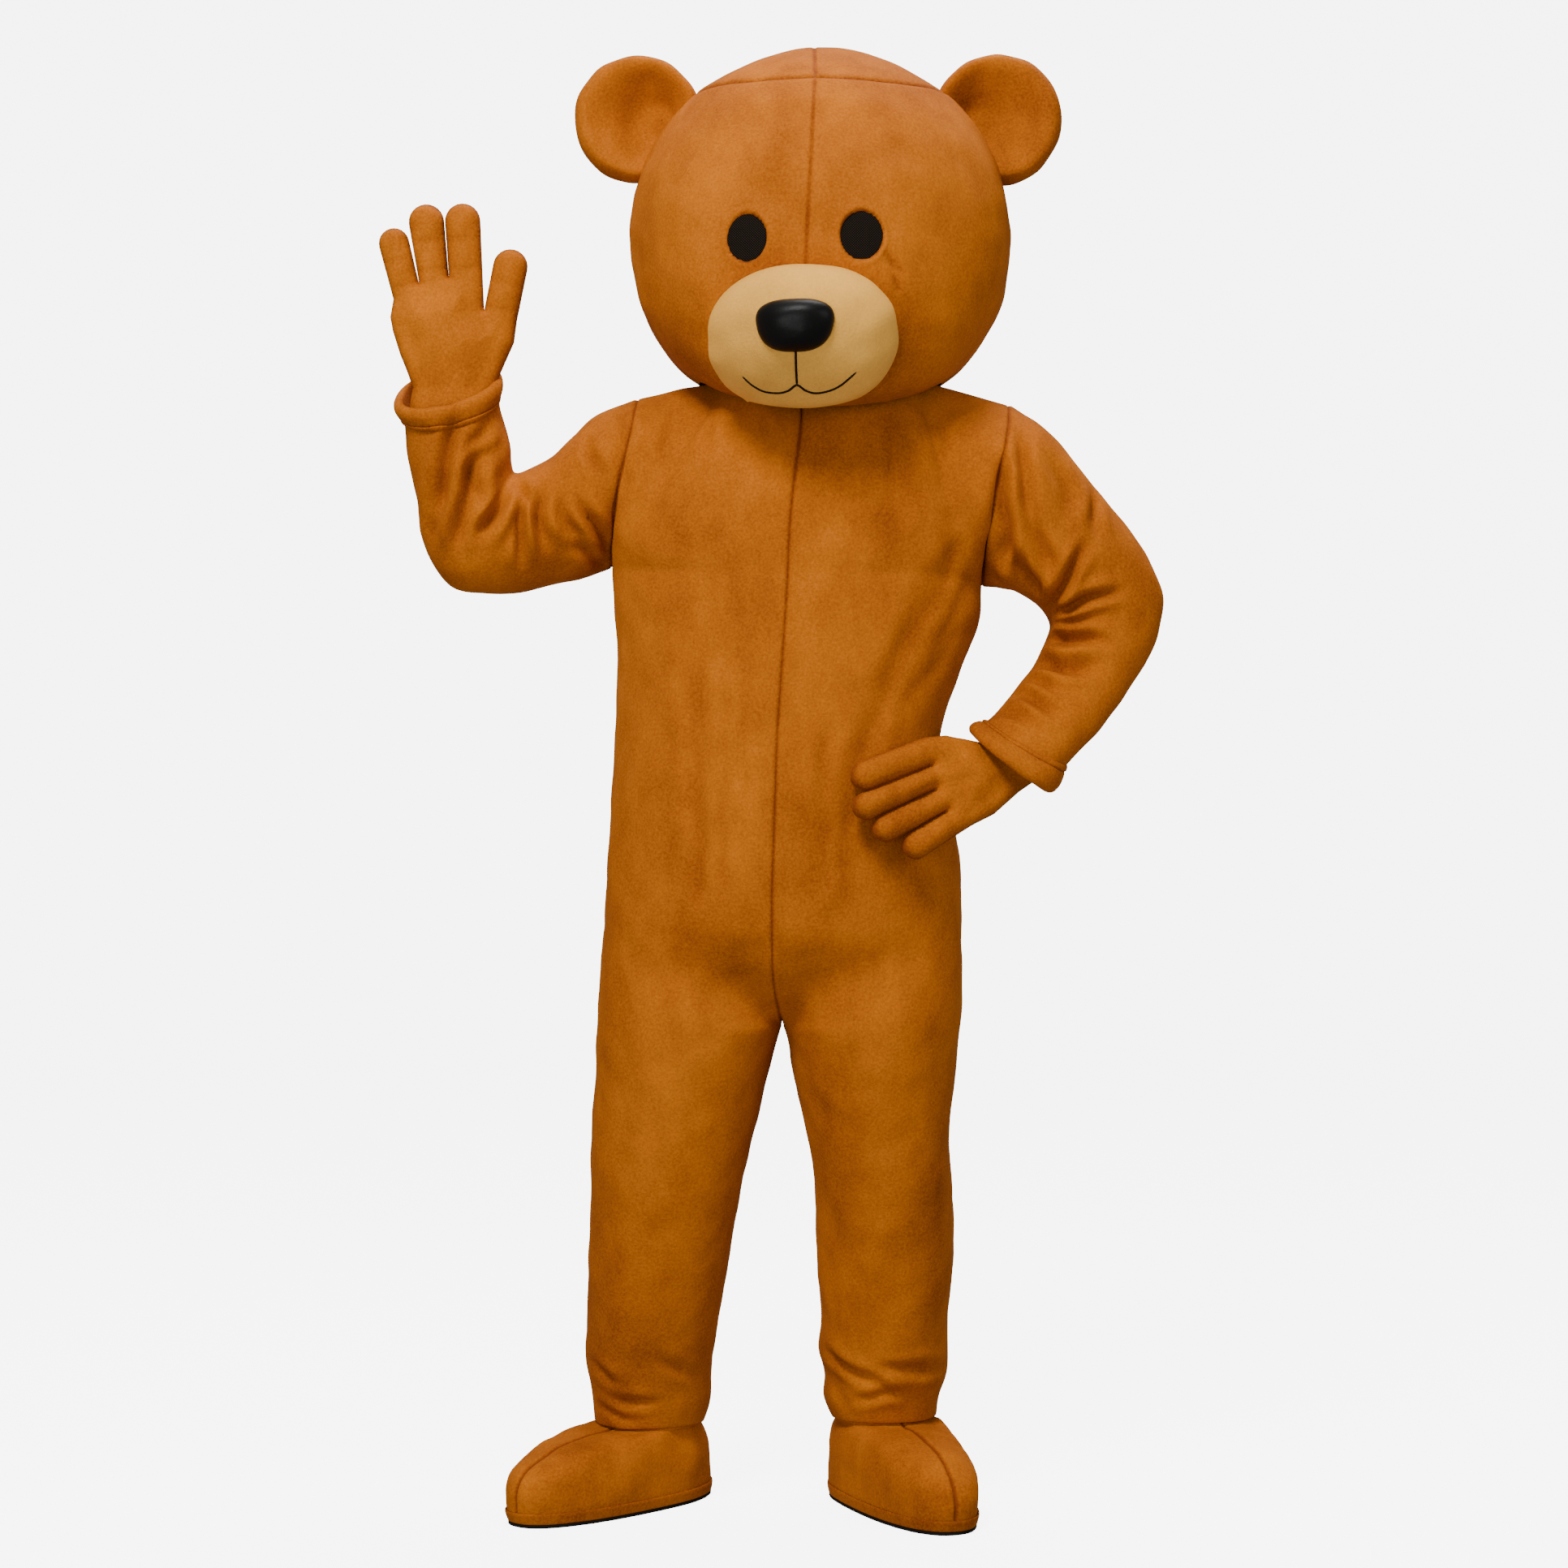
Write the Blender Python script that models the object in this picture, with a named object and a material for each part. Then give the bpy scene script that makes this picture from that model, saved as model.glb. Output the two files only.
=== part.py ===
"""Bear mascot costume: a hollow plush suit, head, gloves and foot covers, in the pose it is worn in.

The costume faces -Y and stands along +Z. Its origin is where the wearer's shoulders carry it. Heights in the
tables are above the floor, and widths are measured from the middle of the stance, in metres.
"""
import bpy
import math
import numpy as np
from mathutils import Vector
from mathutils.bvhtree import BVHTree
from mathutils.geometry import delaunay_2d_cdt

HELD_HEIGHT = 1.365        # shoulders above the floor
HELD_X = 0.045             # neck centre from the middle of the stance
CLOTH_WALL = 0.003         # pile cloth with its backing
HEAD_WALL = 0.008          # pile cloth on foam
EAR_WALL = 0.005
MUZZLE_WALL = 0.005
GLOVE_WALL = 0.002
SHOE_WALL = 0.003
SEAM_PULL = 0.00016        # half of the clearance between two sewn edges
GLOVE_PULL = 0.0003
LAY_GAP = 0.0003           # between a piece and the panel it lies on
CROTCH_HEIGHT = 0.599
CROTCH_RISE = 0.13         # height over which the crotch curve runs from between the legs to the front
ARMPIT_LEFT = 1.161
ARMPIT_RIGHT = 1.138
ARMPIT_MEAN = 1.150

BODY_COLUMNS = 8           # from the side seam to the middle of each body panel
YOKE_ROWS = 9             # from armpit to shoulder
SLEEVE_ROWS = 15

LEG_HEIGHTS = (0.100, 0.115, 0.133, 0.155, 0.185, 0.225, 0.285, 0.360, 0.440, 0.520, 0.590)
TORSO_HEIGHTS = (0.600, 0.607, 0.625, 0.655, 0.690, 0.740, 0.805, 0.870, 0.935, 1.005, 1.078, 1.150)
HEM_LIFT_RIGHT = 0.007     # the right leg, as seen, ends a little higher

# Each leg by height: outer and inner edge of the left leg as seen, inner and outer edge of the right leg,
# the middle of the leg front to back, and how far it reaches to the front and back of that.
LEG_COLUMNS = ("height", "left_out", "left_in", "right_in", "right_out", "mid_y", "front", "back")
LEG_TABLE = (
    (0.098, -0.237, -0.102, 0.062, 0.189, 0.075, 0.070, 0.066),
    (0.129, -0.240, -0.093, 0.050, 0.194, 0.070, 0.076, 0.070),
    (0.160, -0.245, -0.091, 0.051, 0.202, 0.064, 0.082, 0.076),
    (0.192, -0.248, -0.086, 0.043, 0.205, 0.058, 0.086, 0.082),
    (0.223, -0.247, -0.081, 0.045, 0.205, 0.052, 0.089, 0.088),
    (0.285, -0.243, -0.072, 0.042, 0.209, 0.040, 0.093, 0.093),
    (0.347, -0.240, -0.062, 0.040, 0.209, 0.028, 0.098, 0.096),
    (0.409, -0.239, -0.049, 0.036, 0.208, 0.018, 0.104, 0.100),
    (0.470, -0.237, -0.035, 0.026, 0.204, 0.010, 0.110, 0.107),
    (0.531, -0.233, -0.021, 0.013, 0.210, 0.004, 0.117, 0.118),
    (0.591, -0.231, -0.005, 0.001, 0.216, 0.000, 0.123, 0.128),
    (0.600, -0.230, -0.002, -0.002, 0.217, 0.000, 0.124, 0.129),
    (0.740, -0.221, -0.012, -0.012, 0.219, 0.000, 0.130, 0.135),
)

# The trunk by height: both side edges as seen, the centre seam, and the reach to the front and back.
TORSO_COLUMNS = ("height", "left", "right", "seam", "front", "back")
TORSO_TABLE = (
    (0.600, -0.230, 0.217, -0.002, 0.128, 0.140),
    (0.651, -0.228, 0.220, -0.012, 0.136, 0.148),
    (0.711, -0.223, 0.220, -0.014, 0.143, 0.152),
    (0.771, -0.219, 0.218, -0.014, 0.148, 0.150),
    (0.831, -0.215, 0.212, -0.012, 0.150, 0.144),
    (0.891, -0.212, 0.198, -0.010, 0.150, 0.138),
    (0.951, -0.207, 0.192, -0.008, 0.149, 0.133),
    (1.011, -0.206, 0.207, -0.004, 0.147, 0.132),
    (1.071, -0.207, 0.230, 0.000, 0.144, 0.134),
    (1.101, -0.209, 0.241, 0.002, 0.143, 0.136),
    (1.150, -0.211, 0.243, 0.005, 0.141, 0.138),
)

# Shoulder tip, neck end of the shoulder seam, and the neckline's lowest points, as x, y and height.
SHOULDER_LEFT = (-0.181, 0.0, 1.371)
SHOULDER_RIGHT = (0.277, 0.0, 1.363)
NECK_LEFT = (-0.070, 0.0, 1.396)
NECK_RIGHT = (0.160, 0.0, 1.396)
NECK_FRONT = (0.040, -0.086, 1.352)
NECK_BACK = (0.045, 0.088, 1.384)
SHOULDER_COLUMN = 3        # body columns that end on the shoulder seam

# Sleeves by station from the armhole to the cuff: upper (or inner) edge and lower (or outer) edge as seen,
# their middle front to back, the reach to front and back, and how far the front of the ring hangs.
SLEEVE_COLUMNS = ("top_x", "top_h", "low_x", "low_h", "mid_y", "depth", "drop")
SLEEVE_LEFT_TABLE = (
    (-0.228, 1.350, -0.250, 1.149, 0.000, 0.084, 0.000),
    (-0.258, 1.322, -0.292, 1.139, -0.005, 0.078, 0.000),
    (-0.280, 1.299, -0.325, 1.131, -0.012, 0.073, 0.000),
    (-0.308, 1.284, -0.364, 1.130, -0.020, 0.068, 0.004),
    (-0.328, 1.276, -0.407, 1.140, -0.028, 0.065, 0.010),
    (-0.333, 1.284, -0.438, 1.187, -0.036, 0.062, 0.018),
    (-0.334, 1.305, -0.449, 1.247, -0.042, 0.059, 0.024),
    (-0.340, 1.329, -0.457, 1.296, -0.050, 0.056, 0.028),
    (-0.346, 1.355, -0.461, 1.335, -0.056, 0.055, 0.030),
    (-0.351, 1.390, -0.466, 1.366, -0.060, 0.055, 0.031),
)
SLEEVE_RIGHT_TABLE = (
    (0.309, 1.341, 0.266, 1.137, 0.000, 0.086, 0.000),
    (0.339, 1.315, 0.286, 1.133, 0.000, 0.082, 0.000),
    (0.375, 1.270, 0.310, 1.117, 0.004, 0.078, 0.000),
    (0.413, 1.225, 0.324, 1.100, 0.008, 0.075, 0.000),
    (0.447, 1.178, 0.327, 1.088, 0.012, 0.072, 0.000),
    (0.467, 1.128, 0.322, 1.074, 0.014, 0.069, 0.000),
    (0.463, 1.088, 0.314, 1.056, 0.010, 0.066, 0.000),
    (0.447, 1.048, 0.305, 1.038, 0.000, 0.063, 0.002),
    (0.423, 1.009, 0.291, 1.020, -0.014, 0.060, 0.004),
    (0.394, 0.973, 0.276, 1.001, -0.032, 0.057, 0.006),
    (0.364, 0.942, 0.262, 0.984, -0.050, 0.054, 0.008),
    (0.340, 0.917, 0.246, 0.969, -0.066, 0.052, 0.008),
    (0.318, 0.889, 0.229, 0.954, -0.080, 0.050, 0.008),
)
CUFF_WIDTH = 0.021

# Creases, as soft troughs: from and to (x, height), half width, depth; the side says front or back.
FOLD_COLUMNS = ("x0", "h0", "x1", "h1", "width", "depth")
FRONT_FOLDS = (
    (-0.0987, 1.027, -0.104, 0.765, 0.016, 0.004),
    (0.0532, 0.959, 0.050, 0.765, 0.016, 0.004),
    (0.214, 1.187, 0.119, 0.990, 0.020, 0.007),
    (0.119, 0.990, 0.083, 0.910, 0.018, 0.005),
    (-0.087, 1.338, -0.091, 1.268, 0.014, 0.004),
    (0.119, 1.338, 0.125, 1.259, 0.014, 0.004),
    (-0.394, 1.305, -0.418, 1.224, 0.013, 0.008),
    (-0.338, 1.243, -0.370, 1.195, 0.014, 0.007),
    (-0.292, 1.251, -0.287, 1.183, 0.013, 0.006),
    (-0.247, 1.238, -0.212, 1.183, 0.014, 0.006),
    (-0.323, 1.258, -0.300, 1.237, 0.013, 0.007),
    (0.259, 1.265, 0.271, 1.166, 0.014, 0.007),
    (0.271, 1.166, 0.318, 1.127, 0.014, 0.007),
    (0.320, 1.106, 0.366, 1.176, 0.013, 0.007),
    (0.320, 1.106, 0.402, 1.127, 0.013, 0.006),
    (0.334, 1.059, 0.391, 1.063, 0.013, 0.005),
    (0.307, 1.039, 0.362, 1.035, 0.013, 0.006),
    (-0.212, 0.137, -0.159, 0.132, 0.011, 0.003),
    (-0.230, 0.172, -0.206, 0.156, 0.011, 0.005),
    (0.066, 0.185, 0.139, 0.152, 0.011, 0.004),
    (0.121, 0.180, 0.191, 0.174, 0.011, 0.004),
)
BACK_FOLDS = (
    (-0.165, 1.190, -0.060, 1.050, 0.020, 0.006),
    (0.215, 1.170, 0.120, 1.000, 0.020, 0.006),
    (-0.120, 0.640, -0.060, 0.600, 0.016, 0.006),
    (0.120, 0.640, 0.050, 0.600, 0.016, 0.006),
    (-0.380, 1.240, -0.425, 1.200, 0.014, 0.007),
    (0.430, 1.130, 0.350, 1.140, 0.014, 0.007),
    (-0.210, 0.150, -0.150, 0.140, 0.012, 0.005),
    (0.085, 0.150, 0.160, 0.160, 0.012, 0.005),
)

# Head cover by row from the neck rim to the crown: height at the side, front and back, half width,
# and the reach to the front and back.
HEAD_X = 0.045
HEAD_COLUMNS = ("side_h", "front_h", "back_h", "half", "front", "back")
HEAD_TABLE = (
    (1.388, 1.346, 1.378, 0.150, 0.118, 0.120),
    (1.402, 1.350, 1.388, 0.1695, 0.158, 0.142),
    (1.421, 1.371, 1.405, 0.188, 0.181, 0.158),
    (1.446, 1.404, 1.430, 0.204, 0.199, 0.171),
    (1.481, 1.450, 1.468, 0.221, 0.212, 0.182),
    (1.525, 1.508, 1.518, 0.231, 0.217, 0.190),
    (1.571, 1.566, 1.570, 0.2345, 0.215, 0.194),
    (1.617, 1.617, 1.617, 0.229, 0.207, 0.191),
    (1.662, 1.662, 1.662, 0.215, 0.191, 0.180),
    (1.702, 1.702, 1.702, 0.192, 0.168, 0.161),
    (1.738, 1.738, 1.738, 0.158, 0.139, 0.134),
    (1.763, 1.763, 1.763, 0.121, 0.107, 0.103),
    (1.782, 1.782, 1.782, 0.082, 0.073, 0.070),
    (1.796, 1.796, 1.796, 0.040, 0.036, 0.035),
)
HEAD_TOP = 1.801
CROSS_SEAM_ROW = 10
HEAD_QUARTER = 6           # columns in a quarter of the way round

EYES = (("left", -0.0443, 1.537, 0.0233, 0.0280), ("right", 0.0911, 1.538, 0.0253, 0.0290))
EYE_RECESS = 0.0035
EYE_MESH = 0.0015
EYE_SIDES = 18

MUZZLE = (0.022, 1.427, 0.107, 0.081)      # centre x and height, half width and half height of its base
# Rows of the muzzle cup from its edge to its middle: share of the base outline, reach forward, drop.
MUZZLE_ROWS = ((1.00, 0.0005, 0.000), (1.045, 0.011, 0.002), (1.035, 0.027, 0.005), (0.93, 0.043, 0.008),
               (0.70, 0.056, 0.009), (0.36, 0.064, 0.009))
MUZZLE_TIP = (0.066, 0.008)
MUZZLE_SIDES = 22
CHIN_LEVEL = 1.354         # below this the muzzle hangs in front of the chin

NOSE = (0.0126, 1.425, 0.0445, 0.030)      # centre x and height, half width and half height
NOSE_SIDES = 14
NOSE_BULGE = 0.019

MOUTH_LINES = (
    ((0.0135, 1.3930), (0.0150, 1.3610)),
    ((-0.0487, 1.3724), (-0.0365, 1.3621), (-0.0234, 1.3555), (-0.0075, 1.3527), (0.0047, 1.3546),
     (0.0150, 1.3602), (0.0253, 1.3546), (0.0374, 1.3518), (0.0534, 1.3546), (0.0674, 1.3611),
     (0.0842, 1.3742)),
)
MOUTH_WIDTH = 0.0028
MOUTH_RISE = 0.0014

# Ears: centre x and height, radius, and where the hollow is deepest.
EARS = (("left", -0.180, 1.711, 0.0775, -0.150, 1.713), ("right", 0.2625, 1.711, 0.0800, 0.229, 1.708))
EAR_Y = -0.012
EAR_ROLL = 0.024
EAR_BACK = 0.034
EAR_SIDES = 15

DIGIT_COLUMNS = ("root_a", "root_b", "tip_a", "tip_b", "radius")
FINGER_ROUND = 4


def table_value(table, columns, name, height):
    """The named column of a table at a height, read along a smooth curve through its rows."""
    data = np.array(table)
    heights = data[:, 0]
    values = data[:, columns.index(name)]
    slopes = np.gradient(values, heights)
    height = np.clip(height, heights[0], heights[-1])
    index = np.clip(np.searchsorted(heights, height) - 1, 0, len(heights) - 2)
    step = heights[index + 1] - heights[index]
    t = (height - heights[index]) / step
    return (values[index] * (2 * t ** 3 - 3 * t ** 2 + 1) + slopes[index] * step * (t ** 3 - 2 * t ** 2 + t)
            + values[index + 1] * (3 * t ** 2 - 2 * t ** 3) + slopes[index + 1] * step * (t ** 3 - t ** 2))


def leg_point(side, face, u, height):
    """A point of a leg at share u from its outer seam to its inseam, round the front or back."""
    out = table_value(LEG_TABLE, LEG_COLUMNS, side + "_out", height)
    inner = table_value(LEG_TABLE, LEG_COLUMNS, side + "_in", height)
    inner = np.where(height > CROTCH_HEIGHT, table_value(TORSO_TABLE, TORSO_COLUMNS, "seam", height), inner)
    mid_y = table_value(LEG_TABLE, LEG_COLUMNS, "mid_y", height)
    reach = table_value(LEG_TABLE, LEG_COLUMNS, face, height)
    angle = math.pi * u
    x = (out + inner) / 2 + (out - inner) / 2 * np.cos(angle)
    y = mid_y + (-1 if face == "front" else 1) * reach * np.sin(angle) ** 0.92
    return np.stack([x, y, height + 0 * x], axis=-1)


def torso_point(side, face, u, height):
    """A point of the trunk at share u from the side seam to the centre seam."""
    edge = table_value(TORSO_TABLE, TORSO_COLUMNS, side, height)
    seam = table_value(TORSO_TABLE, TORSO_COLUMNS, "seam", height)
    if face == "back":
        seam = seam * 0 + 0.002
    reach = table_value(TORSO_TABLE, TORSO_COLUMNS, face, height)
    angle = math.pi / 2 * u
    x = seam + (edge - seam) * np.cos(angle) ** 0.86
    y = (-1 if face == "front" else 1) * reach * np.sin(angle) ** 0.86
    return np.stack([x, y, height + 0 * x], axis=-1)


def hermite(start, end, leave, arrive, t):
    """A curve from start to end with the given leaving and arriving directions."""
    return (start * (2 * t ** 3 - 3 * t ** 2 + 1) + leave * (t ** 3 - 2 * t ** 2 + t)
            + end * (3 * t ** 2 - 2 * t ** 3) + arrive * (t ** 3 - t ** 2))


def yoke_point(side, face, u, t):
    """A point between armpit (t 0) and the shoulder seam or neckline (t 1)."""
    sign = -1.0 if face == "front" else 1.0
    armpit = ARMPIT_LEFT if side == "left" else ARMPIT_RIGHT
    start = torso_point(side, face, u, np.full_like(u, ARMPIT_MEAN))
    start[..., 2] += (armpit - ARMPIT_MEAN) * (1 - u) ** 2
    tip = np.array(SHOULDER_LEFT if side == "left" else SHOULDER_RIGHT)
    neck = np.array(NECK_LEFT if side == "left" else NECK_RIGHT)
    middle = np.array(NECK_FRONT if face == "front" else NECK_BACK)
    share = SHOULDER_COLUMN / BODY_COLUMNS
    along = np.clip(u / share, 0, 1)[..., None]
    on_seam = tip + (neck - tip) * along
    turn = (np.clip((u - share) / (1 - share), 0, 1) * math.pi / 2)[..., None]
    on_neck = middle + (neck - middle) * np.array([1, 0, 1]) * np.cos(turn)
    on_neck[..., 1] = middle[1] * np.sin(turn[..., 0])
    end = np.where(along < 1, on_seam, on_neck)
    outer = (1 - u)[..., None]
    leave = np.array([0, 0, 0.235]) + outer ** 1.6 * np.array([0, sign * 0.34, 0.0])
    arrive = np.array([0, -sign * 0.13, 0.10]) + outer ** 1.6 * np.array([0, -sign * 0.21, 0.02])
    return hermite(start, end, leave, arrive, t[..., None])


def body_panel(side, face):
    """Grid of one body panel, from the ankle hem to the shoulder, side seam to centre."""
    u = np.linspace(0, 1, BODY_COLUMNS + 1)
    rows = []
    for index, height in enumerate(LEG_HEIGHTS):
        lift = HEM_LIFT_RIGHT * max(0.0, 1 - index / 4) if side == "right" else 0.0
        rows.append(leg_point(side, face, u, np.full_like(u, height + lift)))
    armpit = ARMPIT_LEFT if side == "left" else ARMPIT_RIGHT
    for height in TORSO_HEIGHTS:
        rise = min(max((height - CROTCH_HEIGHT - 0.001) / CROTCH_RISE, 0.0), 1.0)
        under = math.sqrt(rise * (2 - rise))
        weight = (under * u ** 4 + smooth_step(rise) * (1 - u ** 4))[:, None]
        level = np.full_like(u, height)
        low = leg_point(side, face, u, level)
        high = torso_point(side, face, u, level)
        row = low * (1 - weight) + high * weight
        lift = max(0.0, (height - 0.95) / (ARMPIT_MEAN - 0.95))
        row[:, 2] += (armpit - ARMPIT_MEAN) * (1 - u) ** 2 * lift
        rows.append(row)
    for step in range(1, YOKE_ROWS + 1):
        rows.append(yoke_point(side, face, u, np.full_like(u, step / YOKE_ROWS)))
    return np.array(rows)


def armhole_ring(side):
    """The armhole's points from the shoulder tip down the front and up the back."""
    front = body_panel(side, "front")[-(YOKE_ROWS + 1):, 0]
    back = body_panel(side, "back")[-(YOKE_ROWS + 1):, 0]
    return np.concatenate([front[::-1], back[1:-1]])


def sleeve_rings(side):
    """Rings of the sleeve's stations, the first on the armhole."""
    table = SLEEVE_LEFT_TABLE if side == "left" else SLEEVE_RIGHT_TABLE
    count = 2 * YOKE_ROWS
    angle = 2 * math.pi * np.arange(count) / count
    rings = [armhole_ring(side)]
    for top_x, top_h, low_x, low_h, mid_y, depth, drop in table:
        middle = np.array([(top_x + low_x) / 2, mid_y, (top_h + low_h) / 2])
        reach = np.array([(top_x - low_x) / 2, 0, (top_h - low_h) / 2])
        front = np.array([0, -depth, -drop])
        ring = middle + np.cos(angle)[:, None] * reach
        ring = ring + (np.sign(np.sin(angle)) * np.abs(np.sin(angle)) ** 0.9)[:, None] * front
        rings.append(ring)
    return np.array(rings)


def smooth_rows(rings, positions):
    """Rings read between the given ones, along smooth curves through them."""
    last = len(rings) - 1
    result = []
    for position in positions:
        index = min(int(position), last - 1)
        t = position - index
        before = rings[max(index - 1, 0)]
        start = rings[index]
        end = rings[index + 1]
        after = rings[min(index + 2, last)]
        result.append(hermite(start, end, (end - before) / 2, (after - start) / 2, t))
    return np.array(result)


def smooth_step(value):
    """Rise from 0 to 1 with level ends."""
    value = np.clip(value, 0, 1)
    return value * value * (3 - 2 * value)


def fold_shift(points, normals):
    """How far the creases move each point inward."""
    shift = np.zeros(len(points))
    for folds, sign in ((FRONT_FOLDS, -1.0), (BACK_FOLDS, 1.0)):
        facing = smooth_step(sign * normals[:, 1] * 1.6)
        for x0, h0, x1, h1, width, depth in folds:
            along = np.array([x1 - x0, h1 - h0])
            length = np.hypot(*along)
            along = along / length
            flat = points[:, [0, 2]] - np.array([x0, h0])
            run = flat @ along
            across = np.abs(flat @ np.array([-along[1], along[0]]))
            ends = smooth_step((run + 0.012) / 0.03) * smooth_step((length + 0.012 - run) / 0.03)
            shift += depth * np.exp(-(across / width) ** 2) * ends * facing
    return shift


def grid_faces(rows, columns, closed=False):
    """Quads of a grid with the given number of rows and columns."""
    faces = []
    span = columns if closed else columns - 1
    for i in range(rows - 1):
        for j in range(span):
            k = (j + 1) % columns
            faces.append((i * columns + j, i * columns + k, (i + 1) * columns + k, (i + 1) * columns + j))
    return faces


def skin(grid, closed=False, flip=False):
    """A sheet of points and faces from a grid."""
    rows, columns = grid.shape[:2]
    faces = grid_faces(rows, columns, closed)
    if flip:
        faces = [tuple(reversed(face)) for face in faces]
    return [grid.reshape(-1, 3).copy(), faces]


def drop_doubles(sheet):
    """Join the points of a sheet that lie on each other and drop faces that close up."""
    points, faces = sheet
    seen = {}
    order = []
    remap = []
    for point in points:
        key = tuple(np.round(point, 6))
        if key not in seen:
            seen[key] = len(order)
            order.append(point)
        remap.append(seen[key])
    clean = []
    for face in faces:
        ring = []
        for index in face:
            if remap[index] not in ring:
                ring.append(remap[index])
        if len(ring) > 2:
            clean.append(tuple(ring))
    return [np.array(order), clean]


def face_normal(points, face):
    """Area-weighted normal of a face."""
    corners = points[list(face)]
    middle = corners.mean(axis=0)
    total = np.zeros(3)
    for a, b in zip(corners, np.roll(corners, -1, axis=0)):
        total += np.cross(a - middle, b - middle)
    return total / 2


def turned(sheet, outward):
    """A sheet with its faces turned outward: to the front, to the back, or away from an axis of points."""
    points, faces = sheet
    total = 0.0
    for face in faces:
        normal = face_normal(points, face)
        if isinstance(outward, str):
            total += normal[1] * (-1 if outward == "front" else 1)
        else:
            middle = points[list(face)].mean(axis=0)
            near = outward[np.argmin(np.linalg.norm(outward - middle, axis=1))]
            total += normal @ (middle - near)
    if total < 0:
        faces = [tuple(reversed(face)) for face in faces]
    return [points, faces]


def shared_normals(sheets):
    """Point normals of sheets that meet at seams, the same on both sides of each seam."""
    total = {}
    for points, faces in sheets:
        for face in faces:
            normal = face_normal(points, face)
            for index in face:
                key = tuple(np.round(points[index], 5))
                total[key] = total.get(key, 0) + normal
    result = []
    for points, faces in sheets:
        normals = np.array([total[tuple(np.round(point, 5))] for point in points])
        result.append(normals / np.linalg.norm(normals, axis=1)[:, None])
    return result


def edge_loops(faces):
    """Directed edges that belong to one face only."""
    edges = {}
    for face in faces:
        for a, b in zip(face, face[1:] + face[:1]):
            edges[(a, b)] = face
    return {edge: face for edge, face in edges.items() if (edge[1], edge[0]) not in edges}


def pull_edges(points, faces, normals, amount, keep=None):
    """Move the open edges of a sheet inward by a seam's half clearance."""
    open_edges = edge_loops(faces)
    inward = {}
    for (a, b), face in open_edges.items():
        if keep is not None and keep(points[a]) and keep(points[b]):
            continue
        along = points[b] - points[a]
        direction = np.cross(face_normal(points, face), along)
        direction /= np.linalg.norm(direction)
        for index in (a, b):
            inward.setdefault(index, []).append(direction)
    moved = points.copy()
    for index, directions in inward.items():
        if len(directions) == 2:
            total = directions[0] + directions[1]
            total = total / max(1.0 + directions[0] @ directions[1], 0.35)
        else:
            total = directions[0]
        total = total - normals[index] * (total @ normals[index])
        moved[index] = points[index] + total * amount
    return moved


def wall(points, faces, normals, thickness):
    """A closed wall from a sheet, its outer face on the sheet."""
    count = len(points)
    inner = points - normals * (thickness if np.isscalar(thickness) else thickness[:, None])
    vertices = np.concatenate([points, inner])
    result = []
    for face in faces:
        triangles = split(face)
        result += triangles
        result += [tuple(count + i for i in reversed(triangle)) for triangle in triangles]
    for a, b in edge_loops(faces):
        result.append((b, a, count + a))
        result.append((b, count + a, count + b))
    return vertices, result


def split(face):
    """A face as triangles."""
    return [(face[0], face[i], face[i + 1]) for i in range(1, len(face) - 1)]


def place(points):
    """Points from the floor's frame to the costume's own frame."""
    return np.asarray(points) - np.array([HELD_X, 0.0, HELD_HEIGHT])


def material(name, colour, roughness, metallic=0.0):
    """A plain material with its own name."""
    result = bpy.data.materials.new(name)
    result.use_nodes = True
    shader = result.node_tree.nodes["Principled BSDF"]
    shader.inputs["Base Color"].default_value = (*colour, 1.0)
    shader.inputs["Roughness"].default_value = roughness
    shader.inputs["Metallic"].default_value = metallic
    return result


def add(name, vertices, faces, look):
    """One named solid in the costume's collection."""
    mesh = bpy.data.meshes.new(name)
    mesh.from_pydata([tuple(p) for p in place(vertices)], [], [tuple(int(i) for i in f) for f in faces])
    mesh.validate()
    mesh.materials.append(look)
    volume = 0.0
    for polygon in mesh.polygons:
        a, b, c = (mesh.vertices[i].co for i in polygon.vertices[:3])
        volume += a.dot(b.cross(c))
    if volume < 0:
        mesh.flip_normals()
    result = bpy.data.objects.new(name, mesh)
    collection.objects.link(result)
    return result


def tree(points, faces):
    """A search tree of a sheet."""
    return BVHTree.FromPolygons([tuple(p) for p in points], [tuple(int(i) for i in f) for f in faces])


def cut(target, tool_points, tool_faces):
    """Cut a closed shape away from an object."""
    tool_mesh = bpy.data.meshes.new("cutter")
    tool_mesh.from_pydata([tuple(p) for p in place(tool_points)], [], [tuple(int(i) for i in f) for f in tool_faces])
    tool = bpy.data.objects.new("cutter", tool_mesh)
    collection.objects.link(tool)
    modifier = target.modifiers.new("cut", "BOOLEAN")
    modifier.operation = "DIFFERENCE"
    modifier.solver = "EXACT"
    modifier.object = tool
    bpy.context.view_layer.update()
    graph = bpy.context.evaluated_depsgraph_get()
    result = bpy.data.meshes.new_from_object(target.evaluated_get(graph))
    target.modifiers.clear()
    target.data = result
    bpy.data.objects.remove(tool)


def panel(name, sheet, normals, thickness, look, pull=SEAM_PULL, keep=None):
    """A sewn panel as a solid wall with its seam clearances."""
    points, faces = sheet
    moved = pull_edges(points, faces, normals, pull, keep)
    vertices, solid_faces = wall(moved, faces, normals, thickness)
    return add(name, vertices, solid_faces, look)


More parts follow.
